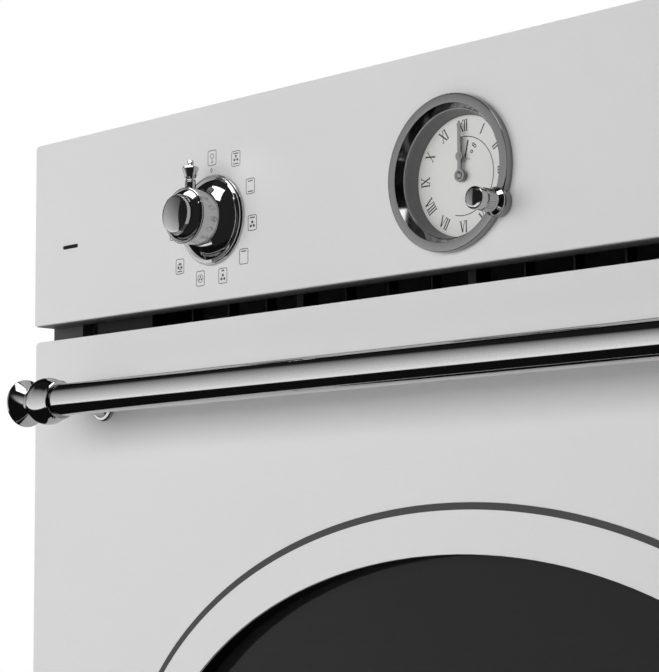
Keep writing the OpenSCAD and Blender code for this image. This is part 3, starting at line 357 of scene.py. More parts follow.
@dataclass(frozen=True)
class Metal(Finish):
    """Bare or plated metal, polished or brushed, with fine pits.

    Attributes:
        grain: grains of the surface texture to a metre.
        stretch: scales of the grain along the axes, for a brushed surface.
        relief: height of the grain in metres.
        pits: share by which pits roughen and darken the surface.
        wave: height of the slow waves in the surface, in metres.
    """

    grain: float = 900.0
    stretch: Colour | None = None
    relief: float = 0.0
    pits: float = 0.0
    wave: float = 0.0

    def sockets(self, surface: Surface) -> dict[str, object]:
        """Returns the sockets of the metal.

        Args:
            surface: the material's node tree.

        Returns:
            The value or the link of each socket of the shader.
        """
        pit_scale, pit_depth, wave_scale, tone_swing = 2400, -0.000004, 45, 0.06
        grain = surface.noise(self.grain, 3, self.stretch)
        pits = surface.noise(pit_scale, 1).smooth(0.66, 0.74) * self.pits
        roughness = (grain - 0.5) * (self.roughness * 0.5) + self.roughness + pits * 0.4
        height = grain * self.relief + pits * pit_depth + surface.noise(wave_scale, 1) * self.wave
        return {
            "Base Color": surface.shade(self.colour, grain - pits * 0.8, tone_swing),
            "Metallic": 1.0,
            "Roughness": roughness,
            "Normal": surface.bump(height, 1.0),
        }


@dataclass(frozen=True)
class Galvanised(Finish):
    """Zinc-coated sheet with its crystal pattern.

    Attributes:
        spangle: crystals to a metre.
        smear: cloudy patches to a metre.
        swing: share by which the crystals' tone differs.
        relief: height of the crystals in metres.
    """

    spangle: float = 110.0
    smear: float = 30.0
    swing: float = 0.14
    relief: float = 0.00002

    def sockets(self, surface: Surface) -> dict[str, object]:
        """Returns the sockets of the sheet.

        Args:
            surface: the material's node tree.

        Returns:
            The value or the link of each socket of the shader.
        """
        crystal = surface.cells(self.spangle)
        tone = crystal * 0.7 + surface.noise(self.smear, 3) * 0.3
        return {
            "Base Color": surface.shade(self.colour, tone, self.swing),
            "Metallic": 0.85,
            "Roughness": tone * 0.2 + self.roughness,
            "Normal": surface.bump(crystal, self.relief, 0.5),
        }


@dataclass(frozen=True)
class Moulding(Finish):
    """Moulded plastic, rubber or ceramic with a fine texture.

    Attributes:
        grain: grains of the texture to a metre.
        relief: height of the texture in metres.
    """

    grain: float = 900.0
    relief: float = 0.00003

    def sockets(self, surface: Surface) -> dict[str, object]:
        """Returns the sockets of the moulding.

        Args:
            surface: the material's node tree.

        Returns:
            The value or the link of each socket of the shader.
        """
        grain = surface.noise(self.grain, 3)
        return {
            "Base Color": surface.shade(self.colour, grain, 0.12),
            "Roughness": (grain - 0.5) * 0.2 + self.roughness,
            "Normal": surface.bump(grain, self.relief),
        }


@dataclass(frozen=True)
class Wool(Finish):
    """Mineral wool: matted fibres with light and dark clumps.

    Attributes:
        clump: clumps to a metre.
        fibre: fibres to a metre.
        clump_h: height of the clumps in metres.
        fibre_h: height of the fibres in metres.
    """

    clump: float = 60.0
    fibre: float = 700.0
    clump_h: float = 0.004
    fibre_h: float = 0.0008

    def sockets(self, surface: Surface) -> dict[str, object]:
        """Returns the sockets of the wool.

        Args:
            surface: the material's node tree.

        Returns:
            The value or the link of each socket of the shader.
        """
        clumps = surface.noise(self.clump, 5)
        fibres = surface.noise(self.fibre, 4, (1, 1, 4))
        height = clumps * self.clump_h + fibres * self.fibre_h
        return {
            "Base Color": surface.shade(self.colour, clumps * 0.6 + fibres * 0.4, 0.35),
            "Roughness": self.roughness,
            "Normal": surface.bump(height, 1.0),
        }


@dataclass(frozen=True)
class Pane(Finish):
    """Flat glass, seen as a film that reflects.

    Attributes:
        body: share of the light that the glass keeps back.
        smudge: share by which faint wiping marks roughen it.
        shine: level of its reflection.
        index: its refractive index.
    """

    body: float = 0.1
    smudge: float = 0.03
    shine: float = 0.22
    index: float = 1.52

    def sockets(self, surface: Surface) -> dict[str, object]:
        """Returns the sockets of the glass.

        Args:
            surface: the material's node tree.

        Returns:
            The value or the link of each socket of the shader.
        """
        marks = surface.noise(25, 4, (1, 1, 0.3))
        return {
            "Base Color": (*self.colour, 1),
            "Roughness": marks.smooth(0.5, 0.8) * self.smudge + self.roughness,
            "Alpha": self.body,
            "IOR": self.index,
            "Specular IOR Level": self.shine,
        }


FINISHES: dict[str, Finish] = {
    "white_enamel": Enamel((0.76, 0.76, 0.76), 0.42, shine=0.18),
    "chrome": Metal((0.50, 0.50, 0.505), 0.035, grain=700, pits=0.5, wave=0.00002),
    "polished_steel": Metal((0.27, 0.27, 0.275), 0.1, grain=500, stretch=(1, 1, 6), pits=0.15),
    "rack_chrome": Metal((0.5, 0.5, 0.51), 0.12, grain=600, pits=0.3, wave=0.00002),
    "hand_metal": Metal((0.46, 0.46, 0.46), 0.4, grain=900, pits=0.2),
    "dial_paint": Enamel((0.92, 0.92, 0.9), 0.5, mottle=0.01, peel=0.000004, peel_scale=1500),
    "dark_frame": Enamel(grey(52), 0.5, mottle=0.08, peel=0.00002, peel_scale=900),
    "black_enamel": Enamel(grey(14), 0.45, mottle=0.1, peel=0.00001, peel_scale=900, shine=0.2),
    "cavity_enamel": Enamel(grey(48), 0.28, mottle=0.1, peel=0.00002, peel_scale=500, speckle=0.5),
    "tray_enamel": Enamel(grey(38), 0.22, mottle=0.1, peel=0.00002, peel_scale=400, speckle=0.35),
    "galvanised": Galvanised((0.55, 0.56, 0.57), 0.32),
    "zinc": Metal((0.58, 0.58, 0.56), 0.3, grain=900, relief=0.000004, pits=0.4),
    "motor_steel": Metal((0.42, 0.42, 0.43), 0.35, grain=700, relief=0.000006, pits=0.5),
    "fan_steel": Metal((0.5, 0.5, 0.5), 0.25, grain=600, stretch=(1, 6, 1), relief=0.000004),
    "heater_steel": Metal((0.2, 0.19, 0.185), 0.45, grain=900, relief=0.00001, pits=0.6),
    "copper": Metal((0.65, 0.35, 0.22), 0.3, grain=900, pits=0.3),
    "grey_plastic": Moulding(grey(120), 0.5),
    "black_plastic": Moulding(grey(34), 0.45),
    "smoked_plastic": Enamel(grey(14), 0.35, mottle=0.05, peel=0.000004, peel_scale=1200, shine=0.1),
    "ceramic": Moulding(grey(225), 0.6, grain=500),
    "seal_rubber": Moulding(grey(45), 0.75, grain=1400, relief=0.00008),
    "mineral_wool": Wool((0.52, 0.46, 0.34), 0.95),
    "dark_line": Enamel(grey(54), 0.5, mottle=0.05, peel=0.000006),
    "tinted_glass": Pane((0.012, 0.012, 0.013), 0.02, body=0.8),
    "clear_glass": Pane((0.02, 0.022, 0.022), 0.015, body=0.05),
    "lamp_glass": Pane((0.8, 0.8, 0.75), 0.2, body=0.5, smudge=0.1),
}


class Palette:
    """Makes each finish's material once and hands it out by slot."""

    def __init__(self, record: dict[str, object]) -> None:
        """Reads which slot each node of the record uses."""
        self.made: dict[str, bpy.types.Material] = {}
        self.slot_of = {part["node"]: part["material_slot"] for part in record["subparts"]}

    def material(self, slot: str) -> bpy.types.Material:
        """Returns the material of a slot.

        Args:
            slot: the slot's name.

        Returns:
            The material.
        """
        if slot not in self.made:
            self.made[slot] = FINISHES[slot].material(slot)
        return self.made[slot]


# Meshes


class Facing(Enum):
    """Where the axis of a turned piece points, with two directions across it."""

    FRONT = ((0, -1, 0), (1, 0, 0), (0, 0, 1))
    LEFT = ((-1, 0, 0), (0, -1, 0), (0, 0, 1))
    RIGHT = ((1, 0, 0), (0, 1, 0), (0, 0, 1))
    UP = ((0, 0, 1), (1, 0, 0), (0, 1, 0))


def rounded(points: Sequence[Sequence[float]], steps: int = 5) -> list[Point]:
    """Rounds the corners of an outline.

    Args:
        points: the corners, each as two coordinates and, where it is rounded, a radius.
        steps: the number of segments of each arc.

    Returns:
        The outline with its arcs.
    """
    out: list[Point] = []
    for i, point in enumerate(points):
        here = Vector(point[:2])
        if len(point) < 3 or i in (0, len(points) - 1):
            out.append((here.x, here.y))
            continue
        to_last, to_next = Vector(points[i - 1][:2]) - here, Vector(points[i + 1][:2]) - here
        half = to_last.angle(to_next) / 2
        reach = min(point[2] / math.tan(half), 0.49 * to_last.length, 0.49 * to_next.length)
        radius = reach * math.tan(half)
        start, end = here + to_last.normalized() * reach, here + to_next.normalized() * reach
        centre = here + (to_last.normalized() + to_next.normalized()).normalized() * (radius / math.sin(half))
        from_angle = math.atan2(start.y - centre.y, start.x - centre.x)
        sweep = math.atan2(end.y - centre.y, end.x - centre.x) - from_angle
        sweep = (sweep + math.pi) % (2 * math.pi) - math.pi
        for k in range(steps + 1):
            angle = from_angle + sweep * k / steps
            out.append((centre.x + radius * math.cos(angle), centre.y + radius * math.sin(angle)))
    return out


def arc(centre: Point, radius: float, start: float, end: float, steps: int) -> list[Point]:
    """Returns points on an arc.

    Args:
        centre: its centre.
        radius: its radius.
        start: its first angle in degrees.
        end: its last angle in degrees.
        steps: the number of its segments.

    Returns:
        The points, ends included.
    """
    angles = [math.radians(start + (end - start) * k / steps) for k in range(steps + 1)]
    return [(centre[0] + radius * math.cos(a), centre[1] + radius * math.sin(a)) for a in angles]


def turned(bm: bmesh.types.BMesh, outline: Sequence[Point], facing: Facing, place: Colour, segments: int,
           loop: bool = False) -> None:
    """Adds a turned piece to a mesh.

    Args:
        bm: the mesh, in metres.
        outline: radius and distance along the axis, in millimetres.
        facing: the direction of the axis.
        place: where the axis starts, in millimetres.
        segments: the number of segments round it.
        loop: whether the outline closes on itself instead of ending on the axis.
    """
    along, across, up = (Vector(v) for v in facing.value)
    origin = Vector(place)
    rings: list[list[bmesh.types.BMVert]] = []
    for radius, distance in outline:
        if radius < 1e-6:
            rings.append([bm.verts.new((origin + along * distance) * MM)])
            continue
        ring = []
        for k in range(segments):
            angle = 2 * math.pi * k / segments
            spoke = across * math.cos(angle) + up * math.sin(angle)
            ring.append(bm.verts.new((origin + along * distance + spoke * radius) * MM))
        rings.append(ring)
    pairs = list(zip(rings, rings[1:])) + ([(rings[-1], rings[0])] if loop else [])
    faces = []
    for first, second in pairs:
        for k in range(segments):
            after = (k + 1) % segments
            corners = [first[k % len(first)], first[after % len(first)], second[after % len(second)],
                       second[k % len(second)]]
            unique = list(dict.fromkeys(corners))
            if len(unique) > 2:
                faces.append(bm.faces.new(unique))
    bmesh.ops.recalc_face_normals(bm, faces=faces)


def from_bmesh(bm: bmesh.types.BMesh, name: str, sharp: float = 32.0) -> bpy.types.Object:
    """Turns a mesh under construction into an object, smooth but for its sharp edges, and frees it.

    Args:
        bm: the mesh, in metres.
        name: the object's name.
        sharp: angle in degrees from which an edge is sharp.

    Returns:
        The object, in the scene.
    """
    mesh = bpy.data.meshes.new(name)
    bm.to_mesh(mesh)
    bm.free()
    mesh.polygons.foreach_set("use_smooth", [True] * len(mesh.polygons))
    mesh.set_sharp_from_angle(angle=math.radians(sharp))
    mesh.update()
    made = bpy.data.objects.new(name, mesh)
    bpy.context.scene.collection.objects.link(made)
    return made


def lathe(name: str, outline: Sequence[Point], spots: Sequence[tuple[Facing, Colour]], segments: int,
          loop: bool = False, sharp: float = 24.0) -> bpy.types.Object:
    """Makes one object of an outline that is turned at each facing and place.

    Args:
        name: the object's name.
        outline: radius and distance along the axis, in millimetres.
        spots: the facing and the place of each copy.
        segments: the number of segments round each.
        loop: whether the outline closes on itself.
        sharp: angle in degrees from which an edge is sharp.

    Returns:
        The object, in the scene.
    """
    bm = bmesh.new()
    for facing, place in spots:
        turned(bm, outline, facing, place, segments, loop)
    return from_bmesh(bm, name, sharp)


class Relief:
    """Flat shapes that stand up from a plane which faces the front."""

    def __init__(self, plane_y: float, height: float) -> None:
        """Keeps the plane and the height, in millimetres.

        Args:
            plane_y: the Y of the plane.
            height: how far the shapes stand up.
        """
        self.bm = bmesh.new()
        self.back = plane_y
        self.front = plane_y - height

    def vertex(self, point: Point, y: float) -> bmesh.types.BMVert:
        """Adds a vertex at a point of the plane."""
        return self.bm.verts.new((point[0] * MM, y * MM, point[1] * MM))

    def polygon(self, points: Sequence[Point]) -> None:
        """Adds a filled outline that turns anticlockwise, seen from the front.

        Args:
            points: the corners.
        """
        front = [self.vertex(p, self.front) for p in points]
        back = [self.vertex(p, self.back) for p in points]
        faces = [self.bm.faces.new(front), self.bm.faces.new(back[::-1])]
        for k in range(len(points)):
            after = (k + 1) % len(points)
            faces.append(self.bm.faces.new((front[k], back[k], back[after], front[after])))
        bmesh.ops.recalc_face_normals(self.bm, faces=faces)

    def band(self, outer: Sequence[Point], inner: Sequence[Point], closed: bool = True) -> None:
        """Adds the band between two outlines with the same number of points.

        Args:
            outer: the first outline.
            inner: the second outline.
            closed: whether the band closes on itself.
        """
        rows = [[self.vertex(p, y) for p in line] for line, y in
                ((outer, self.front), (inner, self.front), (inner, self.back), (outer, self.back))]
        faces = []
        count = len(outer)
        for k in range(count if closed else count - 1):
            after = (k + 1) % count
            for a, b in zip(rows, rows[1:] + rows[:1]):
                faces.append(self.bm.faces.new((a[k], b[k], b[after], a[after])))
        if not closed:
            faces.append(self.bm.faces.new([row[0] for row in rows]))
            faces.append(self.bm.faces.new([row[-1] for row in rows][::-1]))
        bmesh.ops.recalc_face_normals(self.bm, faces=faces)

    def bar(self, start: Point, end: Point, width: float) -> None:
        """Adds a straight bar between two points.

        Args:
            start: the middle of one end.
            end: the middle of the other end.
            width: the width of the bar.
        """
        a, b = Vector(start), Vector(end)
        side = (b - a).orthogonal().normalized() * (width / 2)
        self.polygon([tuple(a + side), tuple(a - side), tuple(b - side), tuple(b + side)][::-1])

    def disc(self, centre: Point, radius: float, segments: int = 20) -> None:
        """Adds a filled circle."""
        self.polygon(arc(centre, radius, 0, 360, segments)[:-1])

    def ring(self, centre: Point, radius: float, width: float, start: float = 0, end: float = 360) -> None:
        """Adds a ring or a part of one.

        Args:
            centre: its centre.
            radius: the radius of the middle of its line.
            width: the width of the line.
            start: its first angle in degrees.
            end: its last angle in degrees.
        """
        steps = max(6, int(abs(end - start) / 6))
        closed = abs(end - start) >= 360
        outer = arc(centre, radius + width / 2, start, end, steps)
        inner = arc(centre, radius - width / 2, start, end, steps)
        self.band(outer[:-1] if closed else outer, inner[:-1] if closed else inner, closed)

    def frame(self, centre: Point, size: Point, radius: float, width: float) -> None:
        """Adds the line of a rectangle with rounded corners.

        Args:
            centre: its centre.
            size: its width and height to the middle of the line.
            radius: the radius of its corners.
            width: the width of the line.
        """
        lines = []
        for grow in (width / 2, -width / 2):
            half_w, half_h, r = size[0] / 2 + grow, size[1] / 2 + grow, radius + grow
            line: list[Point] = []
            for sx, sz, angle in ((1, 1, 0), (-1, 1, 90), (-1, -1, 180), (1, -1, 270)):
                corner = (centre[0] + sx * (half_w - r), centre[1] + sz * (half_h - r))
                line += arc(corner, r, angle, angle + 90, 4)
            lines.append(line)
        self.band(*lines)

    def close(self, name: str) -> bpy.types.Object:
        """Turns the shapes into an object of that name."""
        return from_bmesh(self.bm, name)


class Process(Graph):
    """A Geometry Nodes tree with named inputs, used once on each object and then applied."""

    def __init__(self, name: str, inputs: dict[str, str]) -> None:
        """Makes the tree.

        Args:
            name: the tree's name.
            inputs: the socket type of each input after the geometry.
        """
        super().__init__(bpy.data.node_groups.new(name, "GeometryNodeTree"))
        sockets = self.tree.interface
        sockets.new_socket(name="Geometry", in_out="INPUT", socket_type="NodeSocketGeometry")
        for label, kind in inputs.items():
            sockets.new_socket(name=label, in_out="INPUT", socket_type=kind)
        sockets.new_socket(name="Geometry", in_out="OUTPUT", socket_type="NodeSocketGeometry")
        self.entry = self.tree.nodes.new("NodeGroupInput")
        self.exit = self.tree.nodes.new("NodeGroupOutput")

    def given(self, label: str) -> Value:
        """Returns an input by its name."""
        return Value(self, self.entry.outputs[label])

    def end(self, geometry: Value) -> None:
        """Realizes the instances, sets the material and ends the tree.

        Args:
            geometry: what the tree has made.
        """
        real = self.add("GeometryNodeRealizeInstances", {}, {"Geometry": geometry})
        dressed = self.add("GeometryNodeSetMaterial", {}, {"Geometry": real, "Material": self.given("Material")})
        self.tree.links.new(dressed.socket, self.exit.inputs[0])

    def apply(self, target: bpy.types.Object, values: dict[str, object]) -> None:
        """Runs the tree on an object and keeps the result as its mesh.

        Args:
            target: the object.
            values: the value of each named input.
        """
        modifier = target.modifiers.new("make", "NODES")
        modifier.node_group = self.tree
        named = {s.name: s.identifier for s in self.tree.interface.items_tree if s.in_out == "INPUT"}
        for label, value in values.items():
            modifier[named[label]] = value
        shown = target.evaluated_get(bpy.context.evaluated_depsgraph_get())
        mesh = bpy.data.meshes.new_from_object(shown)
        target.modifiers.remove(modifier)
        old = target.data
        target.data = mesh
        bpy.data.meshes.remove(old)


# The object's sub-assemblies


@dataclass
class Assembly:
    """What every sub-assembly shares: the palette and the way its pieces join the frame."""

    palette: Palette

    def fit(self, piece: bpy.types.Object, body: str, slot: str, *nodes: str) -> bpy.types.Object:
        """Gives a piece its finish and its body, and hides the nodes that it stands for.

        Args:
            piece: the piece.
            body: the body that it rides on.
            slot: its material slot.
            nodes: the nodes that it replaces.

        Returns:
            The piece.
        """
        piece.data.materials.clear()
        piece.data.materials.append(self.palette.material(slot))
        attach(piece, body)
        if nodes:
            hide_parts(*nodes)
        LOG.info("%s: %d faces on %s", piece.name, len(piece.data.polygons), body)
        return piece

    def softened(self, node: str, name: str, width: float, body: str, sharp: float = 30.0,
                 change: Callable[[bmesh.types.BMesh], None] | None = None) -> bpy.types.Object:
        """Copies a node with its sharp edges rounded off, in place of it.

        Args:
            node: the node.
            name: the name of the piece.
            width: the width of the rounding, in millimetres.
            body: the body that it rides on.
            sharp: the angle in degrees from which an edge is rounded.
            change: what else is done to the copy first.

        Returns:
            The piece.
        """
        bm = bmesh.new()
        bm.from_mesh(frame["nodes"][node].data)
        bmesh.ops.remove_doubles(bm, verts=bm.verts, dist=MERGE_M)
        if change:
            change(bm)
        flat_angle = math.radians(0.6)
        bmesh.ops.dissolve_limit(bm, angle_limit=flat_angle, verts=bm.verts, edges=bm.edges)
        sharp_edges = [e for e in bm.edges if e.is_manifold and e.calc_face_angle() > math.radians(sharp)]
        bmesh.ops.bevel(bm, geom=sharp_edges, offset=width * MM, offset_type="OFFSET", segments=3, profile=0.5,
                        affect="EDGES", clamp_overlap=True)
        piece = from_bmesh(bm, name)
        even = piece.modifiers.new("even", "WEIGHTED_NORMAL")
        even.keep_sharp = True
        return self.fit(piece, body, self.palette.slot_of[node], node)


@dataclass
class Carcass(Assembly):
    """The bare nodes of the frame, which keep their shape and get their finish.

    Attributes:
        sharp: the angle in degrees from which an edge stays sharp.
    """

    sharp: float = 28.0

    def build(self) -> None:
        """Dresses every node and smooths the round ones."""
        smoother = Process("smooth_round_faces", {})
        merged = smoother.add("GeometryNodeMergeByDistance", {}, {
            "Geometry": smoother.given("Geometry"), "Distance": MERGE_M})
        angle = smoother.add("GeometryNodeInputMeshEdgeAngle", {}, {})
        flat = angle.math("LESS_THAN", math.radians(self.sharp))
        edges = smoother.add("GeometryNodeSetShadeSmooth", {"domain": "EDGE"}, {
            "Geometry": merged, "Shade Smooth": flat})
        faces = smoother.add("GeometryNodeSetShadeSmooth", {"domain": "FACE"}, {
            "Geometry": edges, "Shade Smooth": True})
        smoother.tree.links.new(faces.socket, smoother.exit.inputs[0])
        for name, node in frame["nodes"].items():
            for slot in node.material_slots:
                slot.material = self.palette.material(self.palette.slot_of[name])
            node.modifiers.new("smooth", "NODES").node_group = smoother.tree
        LOG.info("dressed %d nodes", len(frame["nodes"]))


@dataclass
class Knob(Assembly):
    """A turned knob with its skirt and its pointer. Lengths along the axis start at the panel.

    Attributes:
        side: -1 for the left knob and 1 for the right one.
        body: the body that turns.
        node: the node that the knob stands for.
        skirt_r: radius of the skirt's flat edge.
        skirt_out: height of the skirt's underside.
        body_r: radius of the barrel.
        bead_out: height of the bead at the barrel's front end.
        button_r: radius of the button.
        button_edge: radius at which the button's crown starts.
        crown_r: radius of the sphere that crowns the button.
        face_out: height of the crown.
        pointer_out: height of the pointer's axis.
        ball_r: radius of the pointer's ball.
        ball_h: distance of the ball from the knob's axis.
    """

    side: int
    body: str
    node: str
    skirt_r: float = 21.4
    skirt_out: float = 1.75
    body_r: float = 13.4
    bead_out: float = 19.0
    button_r: float = 9.2
    button_edge: float = 8.55
    crown_r: float = 40.0
    face_out: float = 26.2
    pointer_out: float = 15.0
    ball_r: float = 1.6
    ball_h: float = 26.3

    def outline(self) -> list[Point]:
        """Returns the outline of the knob from its skirt to the crown of its button.

        Returns:
            Radius and distance along the axis for each point.
        """
        dome = arc((6.0, -8.1), 18.0, 40.5, 66, 16)
        shoulder = arc((5.7, 15.9), 7.9, 27, 57, 10)
        start = math.degrees(math.acos(self.button_edge / self.crown_r))
        crown = arc((0.0, self.face_out - self.crown_r), self.crown_r, start, 90, 8)
        skirt = [(0, self.skirt_out), (self.skirt_r, self.skirt_out), (self.skirt_r, 2.5, 0.2), (19.8, 2.8), dome[0]]
        barrel = [(self.body_r, dome[-1][1] + 0.1), (self.body_r, 18.1, 0.4), (self.body_r - 0.25, 18.3)]
        button = [(9.75, 22.4), (self.button_r, 22.3, 0.1), (self.button_r, crown[0][1] - 0.32, 0.12), crown[0]]
        return [
            *rounded(skirt),
            *dome[1:],
            *rounded(barrel, 3),
            *arc((self.body_r - 0.4, self.bead_out), 0.7, -60, 130, 8),
            (12.75, self.bead_out + 0.35),
            *shoulder,
            *rounded(button, 4),
            *crown[1:-1],
            (0, self.face_out),
        ]

    def pointer(self) -> list[Point]:
        """Returns the outline of the pointer above the axis.

        Returns:
            Radius and height over the knob's axis for each point.
        """
        ball = arc((0.0, self.ball_h), self.ball_r, -52, 90, 12)
        return [
            *rounded([
                (0, 9), (2.7, 9), (2.7, 16.8, 0.2), (2.35, 17.0, 0.1), (2.85, 17.45, 0.35), (2.35, 17.9, 0.1),
                (2.35, 18.6, 0.15), (2.85, 19.1, 0.25), (4.1, 23.5, 0.45), (3.75, 24.2, 0.4), (1.1, 25.0),
            ], 4),
            *ball[:-1],
            (0, self.ball_h + self.ball_r),
        ]

    def build(self) -> None:
        """Builds the knob with its pointer."""
        bm = bmesh.new()
        x = self.side * KNOB_X
        turned(bm, self.outline(), Facing.FRONT, (x, FACE_Y, KNOB_Z), 144)
        turned(bm, self.pointer(), Facing.UP, (x, FACE_Y - self.pointer_out, KNOB_Z), 48)
        piece = from_bmesh(bm, f"{self.body}_knob_turned", 24)
        self.fit(piece, self.body, "chrome", self.node)


@dataclass
class KnobFlanges(Assembly):
    """The fixed flanges behind the two knobs.

    Attributes:
        radius: their radius.
        bore: radius of the hole for the shaft.
        height: their thickness.
        round_r: radius of their rounded edge.
    """

    radius: float = 22.2
    bore: float = 5.0
    height: float = 1.4
    round_r: float = 0.35

    def build(self) -> None:
        """Builds both flanges as one piece."""
        outline = rounded([(self.bore, 0), (self.radius, 0), (self.radius, self.height, self.round_r),
                           (self.bore, self.height)])
        spots = [(Facing.FRONT, (side * KNOB_X, FACE_Y, KNOB_Z)) for side in (-1, 1)]
        self.fit(lathe("knob_flanges", outline, spots, 144, True, 32), "carcass", "chrome", "knob_rosettes")


@dataclass
class Handle(Assembly):
    """The bar with its turned ends and the posts that carry it.

    Attributes:
        bar_r: radius of the bar.
        tube_r: its inside radius.
        bar_end: half of its length.
        ball_x: distance of each ball, and of each post, from the middle.
        ball_r: radius of the balls.
        neck_x: distance of the neck behind each ball.
        flare_r: radius of the flare at each end.
        flare_l: its length from the neck.
        post_l: length of a post.
    """

    bar_r: float = 8.1
    tube_r: float = 6.6
    bar_end: float = 230.0
    ball_x: float = 240.0
    ball_r: float = 11.85
    neck_x: float = 249.8
    flare_r: float = 11.95
    flare_l: float = 9.5
    post_l: float = 24.4

    def end_outline(self) -> list[Point]:
        """Returns the outline of one end, with distances from the middle of the bar.

        Returns:
            Radius and distance for each point.
        """
        start, neck, ends = self.bar_end, self.neck_x, self.neck_x + self.flare_l
        collar = [(start - 0.2, 5), (start - 0.2, 9.2, 0.4), (start + 0.4, 9.9, 0.6), (start + 1.6, 9.9, 0.6),
                  (start + 2.2, 9.3, 0.3), (start + 2.6, 9.3)]
        ball = arc((self.ball_x, 0.0), self.ball_r, 128, 30, 30)
        bead = [(neck + 0.3, 6.4), (neck + 0.5, 7.4, 0.5), (neck + 1.5, 7.4, 0.5), (neck + 1.7, 6.05)]
        cove = arc((neck - 13.98, 24.7), 25.5, 313, 330, 14)
        flare = [(ends - 1.4, self.flare_r), (ends - 0.1, self.flare_r, 0.7), (ends, 10.4, 1.0), (ends + 0.1, 8.0)]
        outline = [
            *rounded(collar, 4),
            *ball,
            *rounded(bead, 4),
            *cove,
            *rounded(flare, 5),
            (ends + 0.3, 4.0),
            (ends + 0.35, 0.0),
        ]
        return [(radius, x) for x, radius in outline]

    def build(self) -> None:
        """Builds the bar, its ends and the posts."""
        middle = (0, BAR_Y, BAR_Z)
        bar = [(self.tube_r, -self.bar_end), (self.bar_r, -self.bar_end), (self.bar_r, 0.0),
               (self.bar_r, self.bar_end), (self.tube_r, self.bar_end)]
        tube = lathe("handle_tube", bar, [(Facing.RIGHT, middle)], 128, True, 32)
        self.fit(tube, "door", "chrome", "handle_bar")
        outline = [(0.0, self.bar_end - 0.2), *self.end_outline()]
        ends = lathe("handle_turned_ends", outline, [(f, middle) for f in (Facing.LEFT, Facing.RIGHT)], 112)
        self.fit(ends, "door", "chrome", "handle_ends")
        post = rounded([
            (0, 0), (8.3, 0), (8.3, 1.5, 0.3), (7.7, 2.2, 0.3), (6.2, 2.6, 0.5), (5.0, 5.6, 1.5),
            (5.0, self.post_l, 0.1), (0, self.post_l),
        ], 4)
        spots = [(Facing.FRONT, (side * self.ball_x, DOOR_Y, BAR_Z)) for side in (-1, 1)]
        self.fit(lathe("handle_turned_posts", post, spots, 64), "door", "chrome", "handle_posts")


class Stroke(Enum):
    """The strokes of Roman numerals."""

    I = "I"
    V = "V"
    X = "X"


